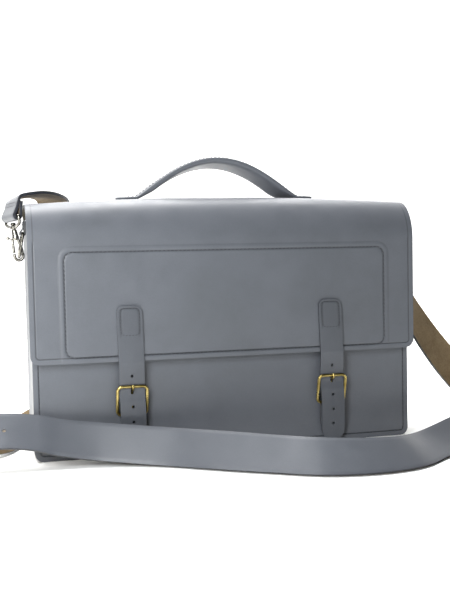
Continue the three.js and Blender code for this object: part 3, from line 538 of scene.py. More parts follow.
def seam(name, path, outward, pitch=STITCH_PITCH, closed=False, slant=9.0, thread=THREAD, body="case"):
    """A row of saddle stitches along a path; outward(points) gives the surface normals there."""
    holes = resample(path, pitch, closed)
    middle = (holes[:-1] + holes[1:]) / 2
    along = holes[1:] - holes[:-1]
    reach = np.linalg.norm(along, axis=1)
    along /= reach[:, None]
    normal = outward(middle)
    normal = unit(normal - along * np.sum(normal * along, axis=1)[:, None])
    side = np.cross(normal, along)
    lean = math.radians(slant)
    run = along * math.cos(lean) + side * math.sin(lean)
    flank = side * math.cos(lean) - along * math.sin(lean)
    a, b, c = STITCH_POINTS.T
    bow = 0.30 - 0.45 * a ** 2
    points = (middle[:, None, :]
              + run[:, None, :] * (a[None, :, None] * reach[:, None, None] * 0.41)
              + flank[:, None, :] * (b[None, :, None] * thread / 2)
              + normal[:, None, :] * ((c * 0.8 * thread / 2 + bow * thread)[None, :, None]))
    size = len(STITCH_POINTS)
    faces = [[k * size + v for v in face] for k in range(len(middle)) for face in STITCH_FACES]
    mesh = bpy.data.meshes.new(name)
    mesh.from_pydata((points.reshape(-1, 3) * MM).tolist(), [], faces)
    mesh.update()
    piece = bpy.data.objects.new(name, mesh)
    bpy.context.scene.collection.objects.link(piece)
    mesh.materials.append(LINEN)
    smooth(piece, 180)
    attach(piece, body)
    return piece


def facing(x, y, z):
    """The same outward direction for every stitch of a seam."""
    return lambda points: np.tile(np.array([x, y, z], float), (len(points), 1))


def sewn_box(half, low, high, radius, steps=8):
    """Rounded rectangle in across and height, as a closed path."""
    return np.vstack([
        arc(half - radius, high - radius, radius, radius, 90, 0, steps),
        arc(half - radius, low + radius, radius, radius, 0, -90, steps),
        arc(-half + radius, low + radius, radius, radius, 270, 180, steps),
        arc(-half + radius, high - radius, radius, radius, 180, 90, steps),
    ])


def inside_by(x, z, half, low, high, radius):
    """How far a point lies inside a rounded rectangle."""
    over_x = np.abs(x) - (half - radius)
    over_z = np.maximum(z - (high - radius), (low + radius) - z)
    outside = np.hypot(np.maximum(over_x, 0), np.maximum(over_z, 0))
    return radius - outside - np.minimum(np.maximum(over_x, over_z), 0)


def bell(distance, width):
    """One at no distance, falling off smoothly to nothing."""
    return np.exp(-(distance / width) ** 2)


def ease(value, start, end):
    """From nothing at start to one at end, level at both."""
    t = np.clip((value - start) / (end - start), 0, 1)
    return t * t * (3 - 2 * t)


def rounded_half(full, radius, from_end):
    """Half width of a sheet with a round corner, by the distance from its end."""
    into = np.clip(radius - from_end, 0, radius)
    return full - radius + np.sqrt(np.maximum(radius ** 2 - into ** 2, 0))


def stops(*parts):
    """Sorted places from (start, end, step) parts."""
    found = [np.arange(start, end + step / 2, step) for start, end, step in parts]
    merged = np.unique(np.round(np.concatenate(found), 3))
    apart = [merged[0]]
    for value in merged[1:]:
        if value - apart[-1] > 0.12:
            apart.append(value)
    return np.array(apart)


def mirrored(values):
    """The places and their mirror images."""
    return np.unique(np.round(np.concatenate([-np.asarray(values), np.asarray(values)]), 3))


def top_height(x):
    """The hide's top stands up slightly in a crown towards the middle."""
    return CASE_HEIGHT + TOP_RISE * (1 - np.minimum(np.abs(x) / FLAP_HALF, 1) ** 2)


def keep(piece, node, body="case"):
    """Put a finished piece on its body, in the place of its solid."""
    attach(piece, body)
    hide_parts(node)


# Camera: placed first, from the photograph's fitted view

camera_data = bpy.data.cameras.new("view")
camera_data.sensor_fit = "HORIZONTAL"
camera_data.sensor_width = 36.0
camera_data.lens = 73.76
camera = bpy.data.objects.new("view", camera_data)
bpy.context.scene.collection.objects.link(camera)
look_right = Vector((0.9655, -0.2599, -0.0195)).normalized()
look_away = Vector((0.2585, 0.9645, -0.0540)).normalized()
look_up = look_right.cross(look_away).normalized()
camera.matrix_world = Matrix((
    (look_right.x, look_up.x, -look_away.x, -0.249),
    (look_right.y, look_up.y, -look_away.y, -0.959),
    (look_right.z, look_up.z, -look_away.z, 0.205),
    (0, 0, 0, 1)))
bpy.context.scene.camera = camera


# Front panel

panel_columns = mirrored(stops((0, 192, 6), (192, 197, 0.5), (197, 200, 1)))
panel_rows = stops((0, 9, 0.75), (4, 7, 0.5), (9, FRONT_TOP, 8), (FRONT_TOP, FRONT_TOP, 1))


def front_place(u, v, i, j):
    half = rounded_half(CASE_HALF, BASE_CORNER, v)
    x = u * half / CASE_HALF
    inside = inside_by(x, v, CASE_HALF, 0, 400, BASE_CORNER)
    line = bell(inside - EDGE_LINE, 0.55)
    uneven = 0.35 * np.sin(x / 52 + 0.6) * np.sin(v / 37) * ease(inside, 4, 30)
    y = -CASE_DEPTH_HALF + 0.35 * line - uneven
    # The second value is painted shade along the creased groove
    return np.stack([x, y, v], axis=1), line * 0.75


front_panel = leather_sheet("front_panel_leather", panel_columns, panel_rows, front_place, WALL,
                            (SLATE, LINING, EDGE))
keep(front_panel, "front_panel")


def open_seam_path(half, low, high, radius, y):
    """A seam down one side, along the base and up the other side."""
    return at_depth(np.vstack([
        [[-half, high]], arc(-half + radius, low + radius, radius, radius, 180, 270, 8),
        arc(half - radius, low + radius, radius, radius, 270, 360, 8), [[half, high]]]), y)


edge_seam = open_seam_path(CASE_HALF - EDGE_LINE, EDGE_LINE, 233, 4.5, -CASE_DEPTH_HALF - 0.1)
seam("front_panel_stitches", edge_seam, facing(0, -1, 0))


# Gusset: one strip round both ends and the base

flat_reach = GUSSET_REACH - 6
bend_reach = GUSSET_REACH - GUSSET_LIP_BEND
gusset_section = np.vstack([
    [[GUSSET_LIP, -GUSSET_REACH], [4.6, -GUSSET_REACH]],
    arc(GUSSET_LIP_BEND, -bend_reach, GUSSET_LIP_BEND, GUSSET_LIP_BEND, 270, 180, 5),
    np.stack([np.zeros(19), np.linspace(-flat_reach, flat_reach, 19)], axis=1),
    arc(GUSSET_LIP_BEND, bend_reach, GUSSET_LIP_BEND, GUSSET_LIP_BEND, 180, 90, 5),
    [[4.6, GUSSET_REACH], [GUSSET_LIP, GUSSET_REACH]]])
gusset_run = np.vstack([
    np.stack([np.full(30, -CASE_HALF), np.linspace(GUSSET_TOP, 12, 30)], axis=1),
    arc(-CASE_HALF + BASE_CORNER, BASE_CORNER, BASE_CORNER, BASE_CORNER, 180, 270, 9),
    np.stack([np.linspace(-185, 185, 40), np.zeros(40)], axis=1),
    arc(CASE_HALF - BASE_CORNER, BASE_CORNER, BASE_CORNER, BASE_CORNER, 270, 360, 9),
    np.stack([np.full(30, CASE_HALF), np.linspace(12, GUSSET_TOP, 30)], axis=1)])
run_ahead = unit(np.gradient(gusset_run, axis=0))
gusset_inward = np.stack([-run_ahead[:, 1], run_ahead[:, 0]], axis=1)


def gusset_place(u, v, i, j):
    inset, y = gusset_section[i].T
    spot = gusset_run[j]
    inward = gusset_inward[j]
    upright = ease(spot[:, 1], 20, 90) * (1 - 0.4 * ease(spot[:, 1], 150, 240))
    dish = 1.6 * np.maximum(1 - (y / GUSSET_REACH) ** 2, 0) * upright * (inset < 0.01)
    total = inset + dish
    # line gives painted shade along the creased grooves, returned as the second value
    line = bell(np.abs(y) - (GUSSET_REACH - 4.5), 0.8) * (inset < 0.5)
    return np.stack([spot[:, 0] + inward[:, 0] * total, y, spot[:, 1] + inward[:, 1] * total],
                    axis=1), line * 0.5


gusset = leather_sheet("gusset_leather", lengths_along(gusset_section), lengths_along(gusset_run),
                       gusset_place, WALL, (SLATE, LINING, EDGE), 0.5)
keep(gusset, "gusset")


# Back, top and flap: one hide

def hide_profile():
    """Rows of (y, z, normal y, normal z, half width, share of the crown) from the back's base to
    the flap's lower edge."""
    rows = []
    for z in np.concatenate([stops((0, 9, 0.75), (4, 7, 0.5)), np.arange(16, 238, 8)]):
        rows.append((CASE_DEPTH_HALF, z, 1, 0, rounded_half(CASE_HALF, BASE_CORNER, z), 0))
    for angle in np.radians(np.linspace(0, 90, 13)):
        up = math.sin(angle)
        rows.append((CASE_DEPTH_HALF - BACK_TOP_RADIUS * (1 - math.cos(angle)),
                     CASE_HEIGHT - BACK_TOP_RADIUS * (1 - up), math.cos(angle), up,
                     CASE_HALF + (FLAP_HALF - CASE_HALF) * up, up * up))
    top_front = FLAP_FACE + SHOULDER_DEPTH
    for y in np.linspace(CASE_DEPTH_HALF - BACK_TOP_RADIUS, top_front, 16)[1:-1]:
        rows.append((y, CASE_HEIGHT, 0, 1, FLAP_HALF, 1))
    for angle in np.radians(np.linspace(0, 90, 31)):
        forward = math.sin(angle)
        up = math.cos(angle)
        normal = np.array([-forward / SHOULDER_DEPTH, up / SHOULDER_DROP])
        normal /= np.linalg.norm(normal)
        rows.append((top_front - SHOULDER_DEPTH * forward, CASE_HEIGHT - SHOULDER_DROP * (1 - up),
                     normal[0], normal[1], FLAP_HALF, up))
    for z in stops((FLAP_BOTTOM, 106, 0.5), (106, 202, 4), (202, 213.4, 0.6))[::-1]:
        rows.append((FLAP_FACE, z, -1, 0, rounded_half(FLAP_HALF, FLAP_CORNER, z - FLAP_BOTTOM), 0))
    return np.array(rows)


hide_rows = hide_profile()
hide_length = lengths_along(hide_rows[:, :2])
hide_columns = mirrored(stops((0, 164, 5), (165, 176, 0.5), (176, 194, 4.5), (194.5, 199, 0.5),
                              (199, FLAP_HALF, 1.1)))[::-1]


def flap_relief(x, z):
    """Outward relief of the flap's front: the pocket's edge pressed through, the sewn line drawn
    in, the creased line along the edges, and the hide's own unevenness."""
    ridge = inside_by(x, z, RIDGE_HALF, -200, RIDGE_TOP, 12.0)
    step = 0.4 * ease(ridge, -1.8, 1.6)
    sewn = bell(inside_by(x, z, SEWN_HALF, SEWN_BOTTOM, SEWN_TOP, SEWN_CORNER), 0.9)
    edge = inside_by(x, z, FLAP_HALF, FLAP_BOTTOM, 600, FLAP_CORNER)
    line = bell(edge - EDGE_LINE, 0.55)
    uneven = 0.5 * np.sin(x / 61 + 1.3) * np.sin((z - FLAP_BOTTOM) / 36) * ease(edge, 6, 40)
    relief = step - 0.55 * sewn - 0.4 * line + uneven
    # dark is painted shade along the sewn and creased lines and at the foot of the pocket's ridge
    dark = np.maximum(0.45 * sewn, 0.8 * line)
    dark = np.maximum(dark, 0.15 * bell(ridge + 0.9, 0.7))
    return relief, dark


def hide_place(u, v, i, j):
    y, z, normal_y, normal_z, half, rise = hide_rows[j].T
    x = u * half / FLAP_HALF
    relief, dark = flap_relief(x, z)
    on_front = ((y < -50) & (z < 215)) * ease(-y, 50, 55.9)
    on_back = y > CASE_DEPTH_HALF - 0.01
    back_line = bell(inside_by(x, z, CASE_HALF, 0, 600, BASE_CORNER) - EDGE_LINE, 0.8) * on_back
    out = relief * on_front - 0.35 * back_line
    lift = rise * (top_height(x) - CASE_HEIGHT)
    side_line = bell(FLAP_HALF - np.abs(u) - EDGE_LINE, 0.55) * (1 - on_front) * (1 - on_back)
    # Painted shade along the creased and sewn lines of the front, back and sides
    painted_shade = np.maximum(dark * on_front, np.maximum(back_line, side_line) * 0.6)
    return np.stack([x, y + out * normal_y, z + lift + out * normal_z], axis=1), painted_shade


back_and_flap = leather_sheet("back_top_and_flap_leather", hide_columns, hide_length, hide_place, WALL,
                              (SLATE, LINING, EDGE), 0.8)
keep(back_and_flap, "back_and_flap")

back_seam = open_seam_path(CASE_HALF - EDGE_LINE, EDGE_LINE, 232, 4.5, CASE_DEPTH_HALF + 0.1)
seam("back_panel_stitches", back_seam, facing(0, 1, 0))
pocket_seam = at_depth(sewn_box(SEWN_HALF, SEWN_BOTTOM, SEWN_TOP, SEWN_CORNER), FLAP_FACE - 0.3)
seam("flap_pocket_stitches", pocket_seam, facing(0, -1, 0), closed=True)


# Panel sewn inside the flap

pocket_columns = np.linspace(-RIDGE_HALF, RIDGE_HALF, 60)
pocket_rows = stops((99.5, 198, 7), (199.5, POCKET_TOP, 1))


def pocket_place(u, v, i, j):
    half = rounded_half(RIDGE_HALF, 11.0, POCKET_TOP - v)
    y = np.full(len(u), FLAP_FACE + WALL + SEAT)
    return np.stack([u * half / RIDGE_HALF, y, v], axis=1), np.zeros(len(u))


flap_pocket = leather_sheet("flap_pocket_leather", pocket_columns, pocket_rows, pocket_place, POCKET_WALL,
                            (LINING, SLATE, EDGE), 0.4)
keep(flap_pocket, "flap_pocket")


# Handle: two layers over a core, sewn along both edges

def handle_top(x):
    arch = np.maximum(1 - (x / HANDLE_ARCH) ** 2, 0) ** 1.15
    return top_height(x) + SEAT + HANDLE_FOOT + HANDLE_RISE * arch


foot_x = HANDLE_HALF - 0.25 - np.array([0, 0.6, 1.6, 3, 5, 7.5, 10.5])
handle_x = np.concatenate([-foot_x, np.linspace(-94, 94, 95), foot_x[::-1]])
handle_slope = handle_top(handle_x + 0.5) - handle_top(handle_x - 0.5)
handle_normal = unit(np.stack([-handle_slope, np.ones(len(handle_x))], axis=1))
handle_thick = HANDLE_FOOT + 3.4 * ease(HANDLE_ROLL - np.abs(handle_x), 0, 22)
into_end = np.clip(np.abs(handle_x) - HANDLE_HALF + FOOT_ROUND, 0, None) / FOOT_ROUND
handle_half = HANDLE_EDGE * np.sqrt(np.clip(1 - into_end ** 2, 0.02, 1))
section_sides = 32


def handle_place(i, j):
    angle = i / section_sides * 2 * math.pi
    across = np.sign(np.cos(angle)) * np.abs(np.cos(angle)) ** 0.34
    through = np.sign(np.sin(angle)) * np.abs(np.sin(angle)) ** 0.55
    depth = (0.5 - 0.5 * through) * handle_thick[j]
    x = handle_x[j] - depth * handle_normal[j, 0]
    z = handle_top(handle_x[j]) - depth * handle_normal[j, 1]
    return np.stack([x, across * handle_half[j], z], axis=1)


handle = ring_tube("handle_leather", section_sides, len(handle_x) - 1, handle_place, SLATE, False)
keep(handle, "handle")


def lean_handle(piece):
    """The lifted handle leans towards its front edge, more so past its middle, so that its
    underside shows from the front."""
    for vertex in piece.data.vertices:
        x, y, z = (float(value) / MM for value in vertex.co)
        lean = HANDLE_LEAN * ease(HANDLE_ROLL - abs(x), 0, 34) * (1 + x / 90)
        vertex.co.z = (z - (y + HANDLE_EDGE) * lean) * MM


lean_handle(handle)
handle_normals = np.stack([handle_normal[:, 0], np.zeros(len(handle_x)), handle_normal[:, 1]], axis=1)


def on_handle(points):
    return np.stack([np.interp(points[:, 0], handle_x, handle_normals[:, k]) for k in range(3)], axis=1)


for side, label in ((-1, "front"), (1, "back")):
    run = np.linspace(-98, 98, 160)
    path = np.stack([run, np.full(len(run), side * 10.3), handle_top(run) - 0.12], axis=1)
    lean_handle(seam(f"handle_stitches_{label}", path, on_handle, pitch=4.4))


# Billets

# How far each billet's back stands out from the front panel, by height: (height, out)
BILLET_KNOTS = np.array([
    (1.5, 3.2), (13.5, 4.4), (30.5, 6.6), (42.5, 8.0), (57.5, 7.4), (65.5, 5.9), (71.5, 6.6), (79.5, 8.2),
    (89, 10.1), (95.5, 11.3), (152, 11.3)])
billet_z = stops((BILLET_TIP, 14, 0.8), (14, 100, 1.5), (100, 145, 5), (145, BILLET_TOP, 0.7))
billet_u = np.concatenate([[-BILLET_HALF, -12.1], np.linspace(-11, 11, 13), [12.1, BILLET_HALF]])


def billet_out(z):
    """The knots' course, eased over a few millimetres."""
    fine = np.linspace(-5, 160, 661)
    course = np.interp(fine, BILLET_KNOTS[:, 0], BILLET_KNOTS[:, 1])
    weights = np.exp(-(np.arange(-12, 13) * 0.25 / 1.6) ** 2)
    padded = np.pad(course, 12, mode="edge")
    eased = np.convolve(padded, weights / weights.sum(), mode="valid")
    return np.interp(z, fine, eased)


def make_billet(label, top_x, lean):
    length = BILLET_TOP - BILLET_TIP

    def middle(z):
        return top_x + lean * (BILLET_TOP - z) / length

    def place(u, v, i, j):
        half = np.minimum(rounded_half(BILLET_HALF, 7.0, BILLET_TOP - v),
                          rounded_half(BILLET_HALF, 12.2, v - BILLET_TIP))
        x = u * half / BILLET_HALF
        crown = 0.35 * (1 - (u / BILLET_HALF) ** 2)
        sewn = bell(inside_by(x, v, *BILLET_SEWN), 0.8)
        y = -CASE_DEPTH_HALF - billet_out(v) - BILLET_WALL - crown + 0.3 * sewn
        # The second value is painted shade along the sewn line
        return np.stack([middle(v) + x, y, v], axis=1), 0.45 * sewn

    hole_heights = [PRONG_HOLE + step * HOLE_PITCH for step in (1, -1, -2, -3)]
    cutters = [hole_cutter(HOLE_RADIUS, (middle(z), PUNCH_Y, z), (0, 1, 0)) for z in hole_heights]
    cutters.append(hole_cutter(1.6, (middle(PRONG_HOLE), PUNCH_Y, PRONG_HOLE + 0.2), (0, 1, 0), tall=3.6))
    billet = leather_sheet(f"billet_{label}_leather", billet_u, billet_z, place, BILLET_WALL,
                           (BILLET_SHADED_GRAIN, LINING, EDGE), 0.6, cutters=cutters)
    keep(billet, f"billet_{label}")
    box = sewn_box(*BILLET_SEWN)
    path = np.stack([middle(box[:, 1]) + box[:, 0],
                     -CASE_DEPTH_HALF - billet_out(box[:, 1]) - BILLET_WALL - 0.25, box[:, 1]], axis=1)
    seam(f"billet_{label}_stitches", path, facing(0, -1, 0), pitch=3.3, closed=True, thread=0.65)


# Buckles

def make_buckle(label, middle):
    half = BILLET_HALF + 0.6 + BUCKLE_WIRE / 2
    radius = BUCKLE_CORNER
    outline = np.vstack([
        arc(half - radius, BUCKLE_HEIGHT - radius, radius, radius, 0, 90, 9),
        arc(-half + radius, BUCKLE_HEIGHT - radius, radius, radius, 90, 180, 9),
        arc(-half + radius, radius, radius, radius, 180, 270, 9),
        arc(half - radius, radius, radius, radius, 270, 360, 9)])
    reach_y = FRONT_BAR_Y - HEEL_Y
    path = np.stack([middle + outline[:, 0], HEEL_Y + reach_y * outline[:, 1] / BUCKLE_HEIGHT,
                     HEEL_Z + outline[:, 1]], axis=1)
    rise = np.array([0, reach_y, BUCKLE_HEIGHT]) / math.hypot(reach_y, BUCKLE_HEIGHT)
    across = np.cross([1.0, 0, 0], rise)
    buckle = bent_wire(f"buckle_frame_{label}_brass", path, across, BUCKLE_WIRE, BRASS, closed=True)
    keep(buckle, f"buckle_frame_{label}")

    tip_y = FRONT_BAR_Y - (BUCKLE_WIRE / 2 + SEAT + 1.1)
    under = -CASE_DEPTH_HALF - 3.9
    shank = np.array([
        (HEEL_Y - 0.6, HEEL_Z + 3.1), (under - 0.4, HEEL_Z + 8), (under, PRONG_HOLE - 6),
        (under - 1.6, PRONG_HOLE - 1.8), (-CASE_DEPTH_HALF - 7.2, PRONG_HOLE + 0.3),
        (tip_y + 1.6, PRONG_HOLE + 2.1), (tip_y - 0.1, BAR_HEIGHT - 0.9), (tip_y + 0.15, BAR_HEIGHT + 2.2)])
    fine = resample(shank, 0.8)
    taper = np.ones(len(fine))
    taper[-3:] = (0.96, 0.86, 0.55)
    prong = bent_wire(f"prong_{label}", at_side(fine, middle), (1, 0, 0), PRONG_WIRE, BRASS,
                      sides=12, taper=taper)
    ring = arc(HEEL_Y, HEEL_Z, KNUCKLE_RADIUS, KNUCKLE_RADIUS, 0, 345, 23)
    knuckle = bent_wire(f"knuckle_{label}", at_side(ring, middle), (1, 0, 0), KNUCKLE_WIRE, BRASS,
                        closed=True, sides=10)
    prong = joined(f"buckle_prong_{label}_brass", [prong, knuckle])
    keep(prong, f"buckle_prong_{label}")

    fold = BUCKLE_WIRE / 2 + SEAT + CHAPE_WALL / 2
    back_y = HEEL_Y + fold
    front_y = back_y - CHAPE_WALL
    low = HEEL_Z - 24
    line = np.vstack([[[back_y, low], [back_y, HEEL_Z - 6]], arc(HEEL_Y, HEEL_Z, fold, fold, 0, 226, 18),
                      [[front_y - 0.25, HEEL_Z - 4.6], [front_y, HEEL_Z - 7], [front_y, low]]])
    course = resample(line, 0.8)
    stretch = np.arange(len(course)) * 0.8

    def chape_place(u, v, i, j):
        return np.stack([middle + u, course[j, 0], course[j, 1]], axis=1), np.zeros(len(u))

    slot = box_cutter((3.4, 20, 20), (middle, HEEL_Y, HEEL_Z + 10 - 1.9 - 1.6 - SEAT))
    chape = leather_sheet(f"buckle_chape_{label}_leather", np.linspace(11, -11, 12), stretch,
                          chape_place, CHAPE_WALL - FOLD_SLACK, (SLATE, LINING, EDGE), 0.3, offset=0.0,
                          cutters=[slot])
    keep(chape, f"buckle_chape_{label}")


for label, side, lean in (("left", -1, 3.2), ("right", 1, 5.6)):
    top_x = side * BILLET_X
    make_billet(label, top_x, lean)
    make_buckle(label, top_x + lean * (BILLET_TOP - PRONG_HOLE) / (BILLET_TOP - BILLET_TIP))


# Side tabs and rings

def make_tab_and_ring(label, side):
    fold = RING_WIRE / 2 + SEAT + TAB_WALL / 2
    wall_x = CASE_HALF + SEAT + TAB_WALL / 2
    middle_x = wall_x + fold
    outer_x = wall_x + TAB_WALL
    line = np.vstack([
        [[wall_x, TAB_TOP], [wall_x, 230]], arc(middle_x, RING_BAR, fold, fold, 180, 360, 14),
        arc(middle_x, RING_BAR, fold, fold, 0, 50, 4)[1:],
        [[outer_x + 0.15, RING_BAR + 5.0], [outer_x, 232.5], [outer_x, TAB_TOP]]])
    course = resample(line, 0.7)
    stretch = np.arange(len(course)) * 0.7
    us = np.linspace(TAB_HALF, -TAB_HALF, 14) * side

    def place(u, v, i, j):
        return np.stack([side * course[j, 0], u, course[j, 1]], axis=1), np.zeros(len(u))

    tab = leather_sheet(f"ring_tab_{label}_leather", us, stretch, place, TAB_WALL - FOLD_SLACK,
                        (LINING, SLATE, EDGE), 0.3, offset=0.0)
    keep(tab, f"ring_tab_{label}")
    path = np.array([(side * (outer_x + 0.85), y, 234.6) for y in np.linspace(-10.5, 10.5, 12)])
    seam(f"ring_tab_{label}_stitches", path, facing(side, 0, 0), pitch=3.2, thread=0.65)

    half = TAB_HALF + 1 + RING_WIRE / 2
    corner = 2.5
    shoulder = RING_HEIGHT * 0.48
    outline = np.vstack([arc(half - corner, -corner, corner, corner, 0, 90, 6),
                         arc(-half + corner, -corner, corner, corner, 90, 180, 6),
                         arc(0, -shoulder, half, RING_HEIGHT - shoulder, 180, 360, 30)])
    path = np.stack([side * (RING_TOP_X - RING_SWING * outline[:, 1] / RING_HEIGHT), outline[:, 0],
                     RING_BAR + outline[:, 1]], axis=1)
    drop = np.array([side * RING_SWING, 0, -RING_HEIGHT]) / math.hypot(RING_SWING, RING_HEIGHT)
    ring = bent_wire(f"ring_{label}_nickel", path, np.cross([0, 1.0, 0], drop), RING_WIRE, NICKEL,
                     closed=True)
    keep(ring, f"ring_{label}")


make_tab_and_ring("left", -1)
make_tab_and_ring("right", 1)


# Snap hooks: the barrel turns in its eye, the sprung gate swings in the barrel

def hook_matrix(side, tilt, turn=0.0):
    """Frame of a hook that hangs on its ring: Z up the hook, X out to its gate."""
    angle = math.radians(tilt)
    up = np.array([side * math.sin(angle), 0, math.cos(angle)])
    out = np.array([side * abs(math.cos(angle)), 0, 0])
    out[2] = -out[0] * up[0] / up[2]
    out /= np.linalg.norm(out)
    across = np.cross(up, out)
    spin = math.radians(turn)
    first = out * math.cos(spin) + across * math.sin(spin)
    second = across * math.cos(spin) - out * math.sin(spin)
    hang = (side * (RING_TOP_X + RING_SWING), 0, RING_BAR - RING_HEIGHT)
    matrix = np.eye(4)
    matrix[:3] = np.stack([first, second, up, hang], axis=1)
    return matrix


def carried(matrix, points):
    """Points of the hook's frame in the case's frame."""
    points = np.asarray(points, float)
    return (np.hstack([points, np.ones((len(points), 1))]) @ matrix.T)[:, :3]


def make_hook(label, side, tilt, eye_turn):
    matrix = hook_matrix(side, tilt)
    across = matrix[:3, 1]
    jaw_radius = 4.1
    jaw_line = np.vstack([
        [[-1.4, SPINE_TOP + 1], [-2.6, SPINE_TOP - 2.5], [-3.7, SPINE_TOP - 7],
         [-jaw_radius, SPINE_TOP - 12]],
        arc(0, JAW_CENTRE, jaw_radius, jaw_radius, 180, 360, 22),
        [[jaw_radius - 0.1, JAW_LIP]]])
    jaw_path = resample(jaw_line, 0.7)
    taper = np.ones(len(jaw_path))
    taper[-2:] = (0.92, 0.7)
    jaw = bent_wire(f"jaw_{label}", carried(matrix, at_depth(jaw_path, 0)), across, HOOK_WIRE, NICKEL,
                    taper=taper)
    base = SPINE_TOP - 0.6
    profile = [(0, base), (2.0, base), (2.9, base + 0.4), (3.4, base + 1.2), (3.5, base + 2.2),
               (3.45, base + 3.4), (3.0, base + 6), (2.7, BODY_TOP - 2), (2.6, BODY_TOP - 1.2),
               (2.2, BODY_TOP - 0.3), (1.5, BODY_TOP), (1.5, KNOB), (2.1, KNOB + 0.05),
               (2.6, KNOB + 0.5), (2.7, KNOB + 1.4), (2.5, KNOB + 2.3), (1.7, KNOB + 2.9),
               (0, KNOB + 3.0)]
    barrel = turned(f"barrel_{label}", profile, matrix, NICKEL)
    pivot_x, pivot_z = GATE_PIVOT
    slot = box_cutter((10, GATE_WIRE, 9), (pivot_x + 5 - 2.3, 0, pivot_z))
    for vertex in slot.data.vertices:
        spot = matrix @ np.array([*(np.array(vertex.co) / MM), 1.0])
        vertex.co = Vector(spot[:3] * MM)
    cut_with(barrel, "gate_slot", slot)
    apply_all(barrel)
    bpy.data.objects.remove(slot)
    pin_path = carried(matrix, [(pivot_x, y, pivot_z) for y in np.linspace(-2.6, 2.6, 6)])
    pin = bent_wire(f"pin_{label}", pin_path, matrix[:3, 0], 1.3, NICKEL, sides=12)
    body = joined(f"hook_body_{label}_nickel", [barrel, jaw, pin])
    smooth(body, 45)
    keep(body, f"hook_body_{label}", f"hook_{label}")

    low = JAW_LIP + 0.5
    bar_line = resample([(4.0, low), (pivot_x + 0.5, pivot_z - 4), (pivot_x, pivot_z + 0.3)], 0.8)
    bar = bent_wire(f"bar_{label}", carried(matrix, at_depth(bar_line, 0)), across, GATE_WIRE, NICKEL,
                    flatten=0.76)
    lever_line = resample([(pivot_x, pivot_z), (pivot_x + 4.3, pivot_z + 2.1)], 0.8)
    lever = bent_wire(f"lever_{label}", carried(matrix, at_depth(lever_line, 0)), across, 1.6, NICKEL,
                      sides=10)
    knob_matrix = matrix.copy()
    knob_matrix[:3, 3] = carried(matrix, [(pivot_x + 4.6, 0, pivot_z + 2.2)])[0]
    ball = [(1.7 * math.sin(a), -1.7 * math.cos(a)) for a in np.linspace(0, math.pi, 13)]
    knob = turned(f"knob_{label}", ball, knob_matrix, NICKEL, 18)
    gate = joined(f"hook_gate_{label}_nickel", [bar, lever, knob])
    keep(gate, f"hook_gate_{label}", f"gate_{label}")

    eye_matrix = hook_matrix(side, tilt, eye_turn)
    corner = 2.05
    low = COLLAR + 1.6
    outline = np.vstack([
        arc(EYE_HALF - corner, EYE_BAR - corner, corner, corner, 0, 90, 7),
        arc(-EYE_HALF + corner, EYE_BAR - corner, corner, corner, 90, 180, 7),
        [[-EYE_HALF, EYE_BAR - 6.2], [-EYE_HALF + 0.7, EYE_BAR - 7.3], [-EYE_HALF + 3, EYE_BAR - 8.6],
         [-7, low], [-5.5, low], [5.5, low], [7, low], [EYE_HALF - 3, EYE_BAR - 8.6],
         [EYE_HALF - 0.7, EYE_BAR - 7.3], [EYE_HALF, EYE_BAR - 6.2]]])
    loop = bent_wire(f"loop_{label}", carried(eye_matrix, at_side(outline, 0)), eye_matrix[:3, 0],
                     HOOK_WIRE, NICKEL, closed=True)
    collar = [(1.85, COLLAR), (3.1, COLLAR), (3.45, COLLAR + 0.5), (3.45, COLLAR + 2.7),
              (3.1, COLLAR + 3.2), (1.85, COLLAR + 3.2), (1.85, COLLAR)]
    sleeve = turned(f"sleeve_{label}", collar, eye_matrix, NICKEL)
    eye = joined(f"hook_eye_{label}_nickel", [sleeve, loop])
    keep(eye, f"hook_eye_{label}")
    bar_middle = carried(eye_matrix, [(0, 0, EYE_BAR)])[0]
    return {"bar": bar_middle, "along": eye_matrix[:3, 1]}


left_hook = make_hook("left", -1, 8.5, 16)
right_hook = make_hook("right", 1, 165, 42)


# Shoulder strap: one band of bridle leather, grain outside and flesh inside

def route_rows():
    """Middle and upper-edge direction of the strap at each row of its route."""
    rows = []
    for across, back, lift, turn, tip in STRAP_ROUTE:
        t = math.radians(turn)
        p = math.radians(tip)
        above = STRAP_HALF * abs(math.sin(p)) + STRAP_WALL / 2 * abs(math.cos(p))
        centre = np.array([across * CASE_HALF, back * CASE_DEPTH_HALF, lift * CASE_HEIGHT + above])
        edge = np.array([math.cos(p) * math.cos(t), math.cos(p) * math.sin(t), math.sin(p)])
        rows.append((centre, edge))
    return rows


def folded_end(hook, next_row, travel):
    """The strap's end, turned round the hook's eye bar and sewn back on itself."""
    centre, row_edge = next_row
    edge = hook["along"] * np.sign(np.dot(hook["along"], row_edge))
    leave = centre - hook["bar"]
    leave = leave - edge * np.dot(leave, edge)
    leave /= np.linalg.norm(leave)
    face = np.cross(leave * travel, edge)
    face /= np.linalg.norm(face)
    wrap = HOOK_WIRE / 2 + 2 * SEAT + STRAP_WALL / 2
    double = (STRAP_WALL + SEAT) / 2

    def at(a, b):
        return hook["bar"] + leave * a + face * b

    fold = [at(15, -double), at(wrap * 2.4, -double - 0.35)]
    for angle in np.radians(np.arange(-15, 196, 15)):
        fold.append(at(-wrap * math.sin(angle), -wrap * math.cos(angle)))
    fold.append(at(wrap * 2.4, double + 0.35))
    return np.array(fold), at(15, double), edge, leave, face


